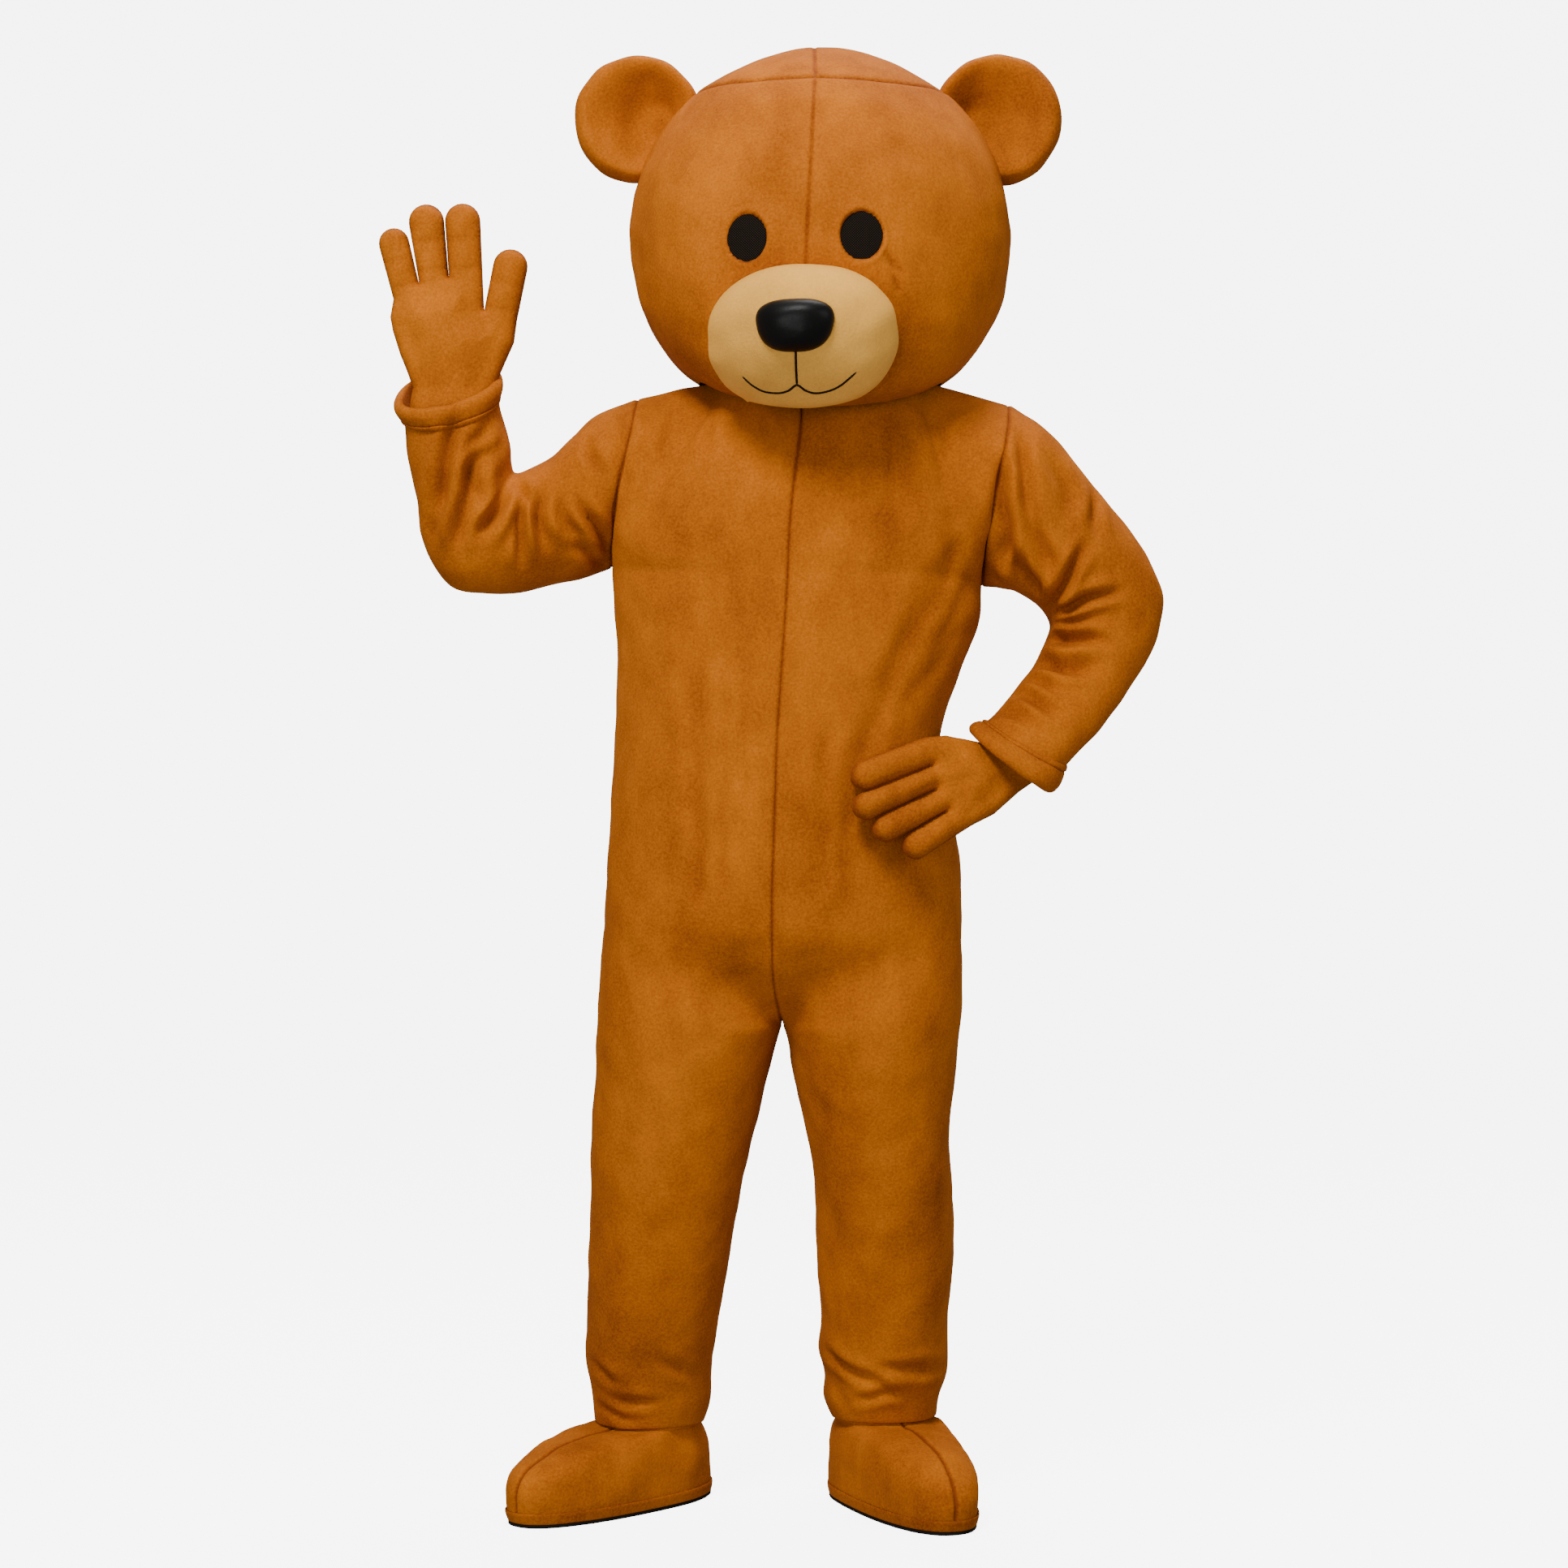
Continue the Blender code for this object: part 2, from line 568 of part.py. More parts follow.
def build_suit(plush):
    """Body panels, sleeves and cuffs, and the sheets that other pieces rest on."""
    sheets = {}
    for side in ("left", "right"):
        for face in ("front", "back"):
            sheets["body_%s_%s" % (face, side)] = turned(skin(body_panel(side, face)), face)
    rows = {}
    for side in ("left", "right"):
        rings = sleeve_rings(side)
        positions = np.linspace(0, len(rings) - 1, SLEEVE_ROWS + 1)
        rows[side] = smooth_rows(rings, positions)
        sheets["sleeve_" + side] = turned(skin(rows[side], closed=True), rows[side].mean(axis=1))
    names = list(sheets)
    normals = dict(zip(names, shared_normals([sheets[name] for name in names])))
    for name in names:
        points = sheets[name][0]
        points -= normals[name] * fold_shift(points, normals[name])[:, None]
    normals = dict(zip(names, shared_normals([sheets[name] for name in names])))
    part_armholes(sheets, normals)
    for name in names:
        keep = None
        if name.startswith("body"):
            keep = is_hem
        panel(name, sheets[name], normals[name], CLOTH_WALL, plush, keep=keep)
    for side in ("left", "right"):
        points = sheets["sleeve_" + side][0].reshape(SLEEVE_ROWS + 1, -1, 3)
        around = normals["sleeve_" + side].reshape(points.shape)
        end = points[-1]
        before = points[-2]
        length = np.linalg.norm(end - before, axis=1).mean()
        share = CUFF_WIDTH / length
        start = end + (before - end) * share
        tilt = around[-1]
        lift = (0.0004, 0.0012, 0.0012, 0.0004)
        spots = (0.0, 0.3, 0.75, 1.03)
        band = np.array([start + (end - start) * spot + tilt * rise for spot, rise in zip(spots, lift)])
        sheet = turned(skin(band, closed=True), band.mean(axis=1))
        band_normals = shared_normals([sheet])[0].reshape(band.shape)
        thick = np.array([0.0026, 0.0042, 0.0042, 0.0030])
        outer = band + band_normals * thick[:, None, None]
        outer_sheet = turned(skin(outer, closed=True), outer.mean(axis=1))
        count = len(outer_sheet[0])
        vertices = np.concatenate([outer_sheet[0], band.reshape(-1, 3)])
        faces = []
        for face in outer_sheet[1]:
            for triangle in split(face):
                faces.append(triangle)
                faces.append(tuple(count + i for i in reversed(triangle)))
        for a, b in edge_loops(outer_sheet[1]):
            faces.append((b, a, count + a))
            faces.append((b, count + a, count + b))
        add("cuff_" + side, vertices, faces, plush)
    return sheets, normals


def part_armholes(sheets, normals):
    """Where a sleeve meets the body in a hollow, as under the arm, let the two walls go their own ways inside."""
    bodies = [name for name in sheets if name.startswith("body")]
    own = dict(zip(bodies, shared_normals([sheets[name] for name in bodies])))
    for side in ("left", "right"):
        sleeve = "sleeve_" + side
        ring = sheets[sleeve][0][:2 * YOKE_ROWS]
        sleeve_own = shared_normals([sheets[sleeve]])[0][:2 * YOKE_ROWS]
        for face in ("front", "back"):
            name = "body_%s_%s" % (face, side)
            points = sheets[name][0]
            for row in range(len(points) // (BODY_COLUMNS + 1)):
                index = row * (BODY_COLUMNS + 1)
                gaps = np.linalg.norm(ring - points[index], axis=1)
                k = int(np.argmin(gaps))
                if gaps[k] > 1e-5:
                    continue
                inward = points[index + 1] - points[index]
                inward /= np.linalg.norm(inward)
                if sleeve_own[k] @ inward > 0.1 or gaps.argmin() == YOKE_ROWS:
                    normals[name][index] = own[name][index]
                    normals[sleeve][k] = sleeve_own[k]


def is_hem(point):
    """Whether a point lies on an ankle hem or the neckline."""
    return point[2] < 0.11


def head_grid(start, stop, first_row, last_row):
    """Grid of the head cover between two turns (in quarters from the left side by the front)."""
    table = np.array(HEAD_TABLE)[first_row:last_row + 1]
    turn = (np.arange(start * HEAD_QUARTER, stop * HEAD_QUARTER + 1) / HEAD_QUARTER) * math.pi / 2
    rows = []
    for side_h, front_h, back_h, half, front, back in table:
        across = -np.cos(turn)
        forward = np.sin(turn)
        power = 0.95
        x = HEAD_X + half * np.sign(across) * np.abs(across) ** power
        reach = np.where(forward > 0, front, back)
        y = -reach * np.sign(forward) * np.abs(forward) ** power
        level = np.where(forward > 0, front_h, back_h)
        height = side_h + (level - side_h) * np.abs(forward) ** 1.6
        rows.append(np.stack([x, y, height], axis=-1))
    if last_row == len(HEAD_TABLE) - 1:
        rows.append(np.tile([HEAD_X, 0.0, HEAD_TOP], (len(turn), 1)))
    return np.array(rows)


def join_sheets(first, second):
    """Two sheets as one, joined where their points meet."""
    points = np.concatenate([first[0], second[0]])
    offset = len(first[0])
    faces = list(first[1]) + [tuple(i + offset for i in face) for face in second[1]]
    return drop_doubles([points, faces])


def grown_hull(sheet, normals, amount):
    """A closed shape a little larger than an open sheet, its opening covered."""
    points = sheet[0] + normals * amount
    open_edges = list(edge_loops(sheet[1]))
    middle = points[[a for a, b in open_edges]].mean(axis=0)
    faces = []
    for face in sheet[1]:
        faces += split(face)
    faces += [(b, a, len(points)) for a, b in open_edges]
    return np.concatenate([points, [middle]]), faces


def build_head(plush, cream, leather, mesh_cloth, thread, suit):
    """The head cover with face, eyes, muzzle, nose, mouth and ears."""
    suit_points = []
    suit_faces = []
    for name in ("body_front_left", "body_front_right", "body_back_left", "body_back_right"):
        offset = len(suit_points)
        suit_points += list(suit[0][name][0])
        suit_faces += [tuple(i + offset for i in face) for face in suit[0][name][1]]
    suit_tree = tree(suit_points, suit_faces)
    last = len(HEAD_TABLE) - 1
    sheets = {
        "face_left": skin(head_grid(0, 1, 0, CROSS_SEAM_ROW)),
        "face_right": skin(head_grid(1, 2, 0, CROSS_SEAM_ROW)),
        "head_back_right": join_sheets(skin(head_grid(2, 3, 0, last)), skin(head_grid(1, 2, CROSS_SEAM_ROW, last))),
        "head_back_left": join_sheets(skin(head_grid(3, 4, 0, last)), skin(head_grid(0, 1, CROSS_SEAM_ROW, last))),
    }
    names = list(sheets)
    axis = np.array([[HEAD_X, 0.0, 1.5]])
    sheets = {name: turned(drop_doubles(sheet), axis) for name, sheet in sheets.items()}
    normals = dict(zip(names, shared_normals([sheets[name] for name in names])))
    everything = sheets[names[0]]
    for name in names[1:]:
        everything = join_sheets(everything, sheets[name])
    head_tree = tree(*everything)
    all_normals = shared_normals([everything])[0]
    solids = {}
    for name in names:
        points, faces = sheets[name]
        moved = pull_edges(points, faces, normals[name], SEAM_PULL)
        vertices, solid_faces = wall(moved, faces, normals[name], HEAD_WALL)
        limit = 0.034
        for index in range(len(vertices)):
            x, y, height = vertices[index]
            hit = suit_tree.ray_cast(Vector((x, y, 1.6)), Vector((0, 0, -1)))[0]
            if hit is not None and height < hit.z + LAY_GAP and hit.z + LAY_GAP - height < limit:
                vertices[index][2] = hit.z + LAY_GAP
        solids[name] = add(name, vertices, solid_faces, plush)
    # Eye holes through the face, and the mesh set back in them.
    for side, eye_x, eye_h, half, tall in EYES:
        turn = 2 * math.pi * np.arange(EYE_SIDES) / EYE_SIDES
        ring = np.stack([eye_x + half * np.cos(turn), 0 * turn, eye_h + tall * np.sin(turn)], axis=-1)
        near = ring + np.array([0, -0.30, 0])
        far = ring + np.array([0, -0.12, 0])
        faces = [tuple(range(EYE_SIDES)), tuple(EYE_SIDES + i for i in reversed(range(EYE_SIDES)))]
        for i in range(EYE_SIDES):
            k = (i + 1) % EYE_SIDES
            faces.append((k, i, EYE_SIDES + i, EYE_SIDES + k))
        cut(solids["face_" + side], np.concatenate([near, far]), faces)
        rows = []
        for share in (1.0, 0.5):
            row = []
            for angle in turn:
                x = eye_x + (half - LAY_GAP - 0.0001) * share * math.cos(angle)
                height = eye_h + (tall - LAY_GAP - 0.0001) * share * math.sin(angle)
                hit = head_tree.ray_cast(Vector((x, -1, height)), Vector((0, 1, 0)))[0]
                row.append((x, hit.y + EYE_RECESS, height))
            rows.append(row)
        grid = np.array(rows)
        sheet = skin(grid, closed=True)
        centre = grid[-1].mean(axis=0)
        sheet[0] = np.concatenate([sheet[0], [centre]])
        base = EYE_SIDES
        for i in range(EYE_SIDES):
            sheet[1].append((base + i, base + (i + 1) % EYE_SIDES, len(sheet[0]) - 1))
        back = np.tile([0.0, -1.0, 0.0], (len(sheet[0]), 1))
        vertices, solid_faces = wall(sheet[0], sheet[1], back, EYE_MESH)
        add("eye_mesh_" + side, vertices, solid_faces, mesh_cloth)
    # Muzzle cup on the face.
    centre_x, centre_h, half, tall = MUZZLE
    turn = 2 * math.pi * np.arange(MUZZLE_SIDES) / MUZZLE_SIDES
    cosine = np.sign(np.cos(turn)) * np.abs(np.cos(turn)) ** 0.9
    sine = np.sign(np.sin(turn)) * np.abs(np.sin(turn)) ** 0.9

    def muzzle_sheet(lift):
        rows = []
        for share, reach, drop in MUZZLE_ROWS:
            row = []
            for c, s in zip(cosine, sine):
                base = min(share, 1.0)
                x = centre_x + half * base * c
                height = centre_h + tall * base * s
                level = max(height, CHIN_LEVEL)
                hit = head_tree.ray_cast(Vector((x, -1, level)), Vector((0, 1, 0)))[0]
                spot = np.array([x + half * (share - base) * c, hit.y, height + tall * (share - base) * s])
                spot = spot + np.array([0, -(reach + lift), -drop])
                row.append(spot)
            rows.append(row)
        grid = np.array(rows)
        sheet = skin(grid, closed=True)
        hit = head_tree.ray_cast(Vector((centre_x, -1, centre_h)), Vector((0, 1, 0)))[0]
        tip = np.array(hit) + np.array([0, -(MUZZLE_TIP[0] + lift), -MUZZLE_TIP[1]])
        sheet[0] = np.concatenate([sheet[0], [tip]])
        base = (len(MUZZLE_ROWS) - 1) * MUZZLE_SIDES
        for i in range(MUZZLE_SIDES):
            sheet[1].append((base + i, base + (i + 1) % MUZZLE_SIDES, len(sheet[0]) - 1))
        return sheet

    hull = grown_hull(everything, all_normals, LAY_GAP)
    muzzle = muzzle_sheet(0.0)
    muzzle_normals = shared_normals([muzzle])[0]
    if muzzle_normals[-1][1] > 0:
        muzzle = [muzzle[0], [tuple(reversed(face)) for face in muzzle[1]]]
        muzzle_normals = shared_normals([muzzle])[0]
    sunk = muzzle[0].copy()
    sunk[:MUZZLE_SIDES] += np.array([0, 0.004, 0])
    vertices, solid_faces = wall(sunk, muzzle[1], muzzle_normals, MUZZLE_WALL)
    count = len(sunk)
    for index in range(count, count + MUZZLE_SIDES):
        x, y, height = vertices[index - count]
        vertices[index] = np.array([centre_x + (x - centre_x) * 0.955, y + 0.001, centre_h + (height - centre_h) * 0.95])
    cut(add("muzzle", vertices, solid_faces, cream), *hull)
    muzzle_hull = grown_hull(muzzle, muzzle_normals, LAY_GAP)
    muzzle_tree = tree(*muzzle)
    # Nose pad on the muzzle.
    centre_x, centre_h, half, tall = NOSE
    turn = 2 * math.pi * np.arange(NOSE_SIDES) / NOSE_SIDES
    rows = []
    under = []
    for share in (1.0, 0.93, 0.78, 0.5, 0.2):
        row = []
        low = []
        for angle in turn:
            c = math.copysign(abs(math.cos(angle)) ** 0.72, math.cos(angle))
            s = math.copysign(abs(math.sin(angle)) ** 0.80, math.sin(angle))
            x = centre_x + half * share * c * (1.0 + 0.14 * s)
            height = centre_h + tall * share * s
            hit = muzzle_tree.ray_cast(Vector((x, -1, height)), Vector((0, 1, 0)))[0]
            bulge = NOSE_BULGE * math.sqrt(max(0.0, 1 - share ** 2.6))
            row.append((x, hit.y - 0.0022 - bulge, height))
            low.append((x, hit.y + 0.003, height))
        rows.append(row)
        under.append(low)
    grid = np.array(rows)
    sheet = skin(grid, closed=True)
    count = NOSE_SIDES
    top = np.concatenate([sheet[0], [grid[-1].mean(axis=0)]])
    faces = []
    for face in sheet[1]:
        faces += split(face)
    base = 4 * count
    for i in range(count):
        faces.append((base + i, base + (i + 1) % count, 5 * count))
    low_grid = np.array(under)[[0, 2, 4]]
    offset = len(top)
    low_points = np.concatenate([low_grid.reshape(-1, 3), [low_grid[-1].mean(axis=0)]])
    for face in grid_faces(3, count, True):
        for triangle in split(face):
            faces.append(tuple(offset + i for i in reversed(triangle)))
    for i in range(count):
        faces.append((offset + 2 * count + (i + 1) % count, offset + 2 * count + i, offset + 3 * count))
        k = (i + 1) % count
        faces.append((k, i, offset + i))
        faces.append((k, offset + i, offset + k))
    cut(add("nose", np.concatenate([top, low_points]), faces, leather), *muzzle_hull)
    # Mouth cord: an upright stroke and a double curve, as flat strips on the muzzle.
    for index, line in enumerate(MOUTH_LINES):
        spots = np.array(line)
        if index == 0:
            spots = spots[0] + (spots[1] - spots[0]) * np.linspace(0.0, 0.93, 4)[:, None]
        else:
            spots = smooth_rows(spots[:, None, :], np.linspace(0, len(spots) - 1, 15))[:, 0]
        along = np.gradient(spots, axis=0)
        along /= np.linalg.norm(along, axis=1)[:, None]
        across = np.stack([-along[:, 1], along[:, 0]], axis=-1) * MOUTH_WIDTH / 2
        section = []
        for shift, rise in ((1, -0.001), (1, MOUTH_RISE), (-1, MOUTH_RISE), (-1, -0.001)):
            row = []
            for spot in spots + shift * across:
                hit = muzzle_tree.ray_cast(Vector((spot[0], -1, spot[1])), Vector((0, 1, 0)))[0]
                row.append((spot[0], hit.y - rise, spot[1]))
            section.append(row)
        ring = np.array(section).transpose(1, 0, 2)
        faces = []
        for face in grid_faces(len(spots), 4, True):
            faces += split(face)
        end = 4 * (len(spots) - 1)
        faces += [(0, 2, 1), (0, 3, 2), (end, end + 1, end + 2), (end, end + 2, end + 3)]
        cord = add("mouth_" + ("upright", "curve")[index], ring.reshape(-1, 3), faces, thread)
        cut(cord, *muzzle_hull)
    # Ears, trimmed where they meet the head.
    for side, ear_x, ear_h, radius, deep_x, deep_h in EARS:
        turn = 2 * math.pi * (np.arange(EAR_SIDES) + 0.31) / EAR_SIDES
        circle = np.stack([np.cos(turn), np.sin(turn)], axis=-1)
        seam_centre = np.array([ear_x, ear_h])
        deep = np.array([deep_x, deep_h])
        for face, rows in (("front", ((1.0, 0.0), (0.985, 0.55), (0.90, 0.98), (0.76, 0.9), (0.52, 0.30),
                                      (0.25, -0.35))),
                           ("back", ((1.0, 0.0), (0.985, 0.35), (0.88, 0.72), (0.62, 0.93), (0.30, 1.0)))):
            grid = []
            for share, rise in rows:
                centre = seam_centre + (deep - seam_centre) * ((1 - share) if face == "front" else 0)
                flat = centre + circle * radius * share
                if face == "front":
                    y = EAR_Y - SEAM_PULL - EAR_ROLL * rise
                else:
                    y = EAR_Y + SEAM_PULL + EAR_BACK * rise
                grid.append(np.stack([flat[:, 0], np.full(EAR_SIDES, y), flat[:, 1]], axis=-1))
            grid = np.array(grid)
            sheet = skin(grid, closed=True)
            tip = grid[-1].mean(axis=0)
            tip[1] += 0.001 if face == "back" else 0.002
            sheet[0] = np.concatenate([sheet[0], [tip]])
            base = (len(rows) - 1) * EAR_SIDES
            for i in range(EAR_SIDES):
                sheet[1].append((base + i, base + (i + 1) % EAR_SIDES, len(sheet[0]) - 1))
            if face == "back":
                sheet[1] = [tuple(reversed(item)) for item in sheet[1]]
            around = shared_normals([sheet])[0]
            if (around[-1][1] > 0) != (face == "back"):
                sheet[1] = [tuple(reversed(item)) for item in sheet[1]]
                around = shared_normals([sheet])[0]
            around[:EAR_SIDES, 1] = 0
            around[:EAR_SIDES] /= np.linalg.norm(around[:EAR_SIDES], axis=1)[:, None]
            vertices, solid_faces = wall(sheet[0], sheet[1], around, EAR_WALL)
            ear = add("ear_%s_%s" % (face, side), vertices, solid_faces, plush)
            cut(ear, *hull)
    return everything, all_normals


def glove_outline(digits, palm_left, palm_right, webs):
    """Outline of a glove in its own plane, from the wrist's left end round the digits to its right end."""
    outline = [tuple(point) for point in palm_left]
    for index, (root_a, root_b, tip_a, tip_b, radius) in enumerate(digits):
        root = np.array([root_a, root_b])
        tip = np.array([tip_a, tip_b])
        along = (tip - root) / np.linalg.norm(tip - root)
        left = np.array([-along[1], along[0]])
        centre = tip - along * radius
        outline.append(tuple(root + left * radius))
        outline.append(tuple((root + left * radius + centre + left * radius) / 2))
        for step in range(FINGER_ROUND + 1):
            angle = math.pi * step / FINGER_ROUND
            outline.append(tuple(centre + radius * (left * math.cos(angle) + along * math.sin(angle))))
        outline.append(tuple((root - left * radius + centre - left * radius) / 2))
        outline.append(tuple(root - left * radius))
        if index < len(digits) - 1:
            outline.append(tuple(webs[index]))
    outline += [tuple(point) for point in palm_right]
    return np.array(outline)


def distance_to_seam(points, outline):
    """How far points in a glove's plane are from its seam, the wrist edge not counted."""
    best = np.full(len(points), 1e9)
    for a, b in zip(outline[:-1], outline[1:]):
        edge = b - a
        t = np.clip(((points - a) @ edge) / (edge @ edge), 0, 1)
        best = np.minimum(best, np.linalg.norm(points - (a + t[:, None] * edge), axis=1))
    return best


def build_glove(side, spec, sleeve, plush):
    """A glove as two sewn panels, its wrist running up inside the cuff."""
    digits = spec["digits"]
    depth = spec["depth"]
    origin = np.array(spec["origin"])
    right = np.array(spec["across"]) / np.linalg.norm(spec["across"])
    up = np.array(spec["along"]) - right * (np.array(spec["along"]) @ right)
    up = up / np.linalg.norm(up)
    toward = np.cross(right, up)
    outline = glove_outline(digits, spec["left"], spec["right"], spec["webs"])
    wrist_count = YOKE_ROWS + 1
    wrist = outline[-1] + (outline[0] - outline[-1]) * np.linspace(0, 1, wrist_count)[1:-1, None]
    loop = np.concatenate([outline, wrist])
    inside = []
    for root_a, root_b, tip_a, tip_b, radius in digits:
        root = np.array([root_a, root_b])
        tip = np.array([tip_a, tip_b])
        along = (tip - root) / np.linalg.norm(tip - root)
        left = np.array([-along[1], along[0]])
        length = np.linalg.norm(tip - root) - radius
        for step in np.linspace(0.0, 1.0, 4):
            centre = root + along * length * step
            inside.append(centre)
            inside.append(centre + left * radius * 0.68)
            inside.append(centre - left * radius * 0.68)
        inside.append(root + along * (length + radius * 0.68))
    low = loop.min(axis=0)
    high = loop.max(axis=0)
    for a in np.arange(low[0], high[0], 0.022):
        for b in np.arange(low[1] + 0.009, high[1], 0.022):
            inside.append(np.array([a, b]))
    inside = np.array(inside)
    keep = distance_to_seam(inside, outline) > 0.0042
    inside = inside[keep]
    inside = np.array([point for point in inside if inside_outline(point, loop)])
    chosen = []
    for point in inside:
        if all(np.linalg.norm(point - other) > 0.0085 for other in chosen):
            chosen.append(point)
    points2 = np.concatenate([loop, np.array(chosen)])
    edges = [(i, (i + 1) % len(loop)) for i in range(len(loop))]
    for attempt in range(3):
        result = delaunay_2d_cdt([Vector(p) for p in points2], edges, [list(range(len(loop)))], 1, 1e-6)
        flat = np.array([tuple(p) for p in result[0]])
        triangles = [tuple(face) for face in result[2]]
        flush = distance_to_seam(flat, outline) < 1e-6
        spans = set()
        for triangle in triangles:
            for a, b in zip(triangle, triangle[1:] + triangle[:1]):
                middle = (flat[a] + flat[b]) / 2
                if flush[a] and flush[b] and distance_to_seam(middle[None], outline)[0] > 1e-4:
                    spans.add(tuple(np.round(middle, 6)))
        if not spans:
            break
        points2 = np.concatenate([points2, np.array(sorted(spans))])
    distance = distance_to_seam(flat, outline)
    radius = 0.0165
    rise = np.where(distance < radius, np.sqrt(np.maximum(radius ** 2 - (radius - distance) ** 2, 0)), radius)
    rise = rise + (depth - radius) * smooth_step((distance - radius * 0.8) / 0.032)
    on_wrist = [i for i in range(len(flat)) if distance_to_line(flat[i], outline[0], outline[-1]) < 1e-6]
    ordered = sorted(on_wrist, key=lambda i: (flat[i] - outline[0]) @ (outline[-1] - outline[0]))
    base = len(flat)
    count = len(ordered)
    chains = [ordered, list(range(base, base + count)), list(range(base + count, base + 2 * count))]
    sheets = {}
    for sign in (1.0, -1.0):
        hand = origin + flat[:, :1] * right + flat[:, 1:] * up + toward * (sign * rise)[:, None]
        faces = list(triangles)
        # Two rows that run from the wrist up inside the sleeve.
        extra = []
        for share in (0.5, 1.0):
            extra += [sleeve(hand[index], sign, position / (count - 1), share)
                      for position, index in enumerate(ordered)]
        hand = np.concatenate([hand, np.array(extra)])
        forward = (ordered[0], ordered[1]) in edge_loops(faces)
        for first, second in zip(chains[:-1], chains[1:]):
            for i in range(count - 1):
                quad = (first[i], first[i + 1], second[i + 1], second[i])
                faces.append(tuple(reversed(quad)) if forward else quad)
        if sum(face_normal(hand, face) @ toward for face in triangles) * sign < 0:
            faces = [tuple(reversed(face)) for face in faces]
        sheets[sign] = [hand, faces]
    around = dict(zip(sheets, shared_normals(list(sheets.values()))))
    for sign, face in ((1.0, "palm" if side == "left" else "back"), (-1.0, "back" if side == "left" else "palm")):
        hand, faces = sheets[sign]
        shifted = hand + toward * sign * GLOVE_PULL
        shifted[base:] += toward * sign * GLOVE_PULL * 2
        vertices, solid_faces = wall(shifted, faces, around[sign], GLOVE_WALL)
        inner = vertices[len(hand):len(hand) + base]
        sunk = np.maximum(0.0, GLOVE_PULL - ((inner - origin) @ toward) * sign)
        vertices[len(hand):len(hand) + base] += toward * (sunk * sign)[:, None]
        add("glove_%s_%s" % (face, side), vertices, solid_faces, plush)


def sum_volume(vertices, faces):
    """Signed volume of a closed shape."""
    total = 0.0
    for face in faces:
        a, b, c = (vertices[i] for i in face[:3])
        total += a @ np.cross(b, c)
    return total


def distance_to_line(point, a, b):
    """Distance of a point from the line between two others."""
    edge = b - a
    t = np.clip(((point - a) @ edge) / (edge @ edge), 0, 1)
    return np.linalg.norm(point - (a + t * edge))


def sleeve_reach(sheets, normals, side):
    """A function that puts a glove's wrist rows just inside the end of the sleeve."""
    rows = sheets["sleeve_" + side][0].reshape(SLEEVE_ROWS + 1, -1, 3)
    around = normals["sleeve_" + side].reshape(rows.shape)
    count = 2 * YOKE_ROWS
    inner = rows - around * (CLOTH_WALL + 0.0013)
    target = inner[-2] + (inner[-3] - inner[-2]) * 0.3

    def reach(point, sign, t, share):
        # The left sleeve's ring starts at the inner side of the wrist, the right one's at the outer side.
        if side == "left":
            position = count / 2 * (1 - t) if sign > 0 else count / 2 * (1 + t)
        else:
            position = count / 2 * t if sign > 0 else count - count / 2 * t
        index = int(math.floor(position + 1e-9))
        part = position - index
        goal = target[index % count] * (1 - part) + target[(index + 1) % count] * part
        centre = target.mean(axis=0)
        goal = goal + (goal - centre) / np.linalg.norm(goal - centre) * -0.0003
        return point * (1 - share) + goal * share

    return reach


# Foot covers by height above the floor: reach to the toe and heel from the ankle, half width,
# all along and across the foot.
SHOE_COLUMNS = ("height", "toe", "heel", "half")
SHOE_LEFT = {"ankle": (-0.176, 0.072), "turn": 40.0, "toe_column": 2, "rows": (
    (0.0045, 0.222, 0.098, 0.066), (0.018, 0.228, 0.100, 0.069), (0.042, 0.229, 0.099, 0.070),
    (0.064, 0.214, 0.095, 0.069), (0.083, 0.170, 0.088, 0.066), (0.0935, 0.112, 0.078, 0.064))}
SHOE_RIGHT = {"ankle": (0.128, 0.074), "turn": -19.0, "toe_column": 3, "rows": (
    (0.0045, 0.230, 0.092, 0.066), (0.018, 0.236, 0.094, 0.069), (0.042, 0.237, 0.093, 0.070),
    (0.067, 0.220, 0.089, 0.069), (0.088, 0.172, 0.083, 0.066), (0.1000, 0.104, 0.072, 0.061))}
BAND_HEIGHT = 0.013
SOLE_THICK = 0.004


def shoe_turns(side, spec):
    """Places round the ankle, in the leg's own columns from its outer seam by the front, closer at the toe."""
    near = [0.5 * k for k in range(9)]
    offsets = near + [5, 6, 7, 8, -7, -6, -5] + [-value for value in near[:0:-1]]
    places = np.array(offsets) + spec["toe_column"]
    turn = np.array(offsets) * math.pi / BODY_COLUMNS * (1 if side == "left" else -1)
    return places % (2 * BODY_COLUMNS), turn


def shoe_ring(spec, turn, height, toe, heel, half, extra=0.0):
    """A level ring of a foot cover; its first point is at the toe."""
    c = np.sign(np.cos(turn)) * np.abs(np.cos(turn)) ** 0.86
    s = np.sign(np.sin(turn)) * np.abs(np.sin(turn)) ** 0.86
    along = np.where(c > 0, (toe + extra) * c, (heel + extra) * c)
    widen = 1.0 - 0.16 * smooth_step((0.02 - along) / 0.16)
    across = (half + extra) * s * widen
    angle = math.radians(spec["turn"])
    forward = np.array([-math.sin(angle), -math.cos(angle)])
    side = np.array([math.cos(angle), -math.sin(angle)])
    flat = np.array(spec["ankle"]) + along[:, None] * forward + across[:, None] * side
    return np.column_stack([flat, np.full(len(turn), height)])


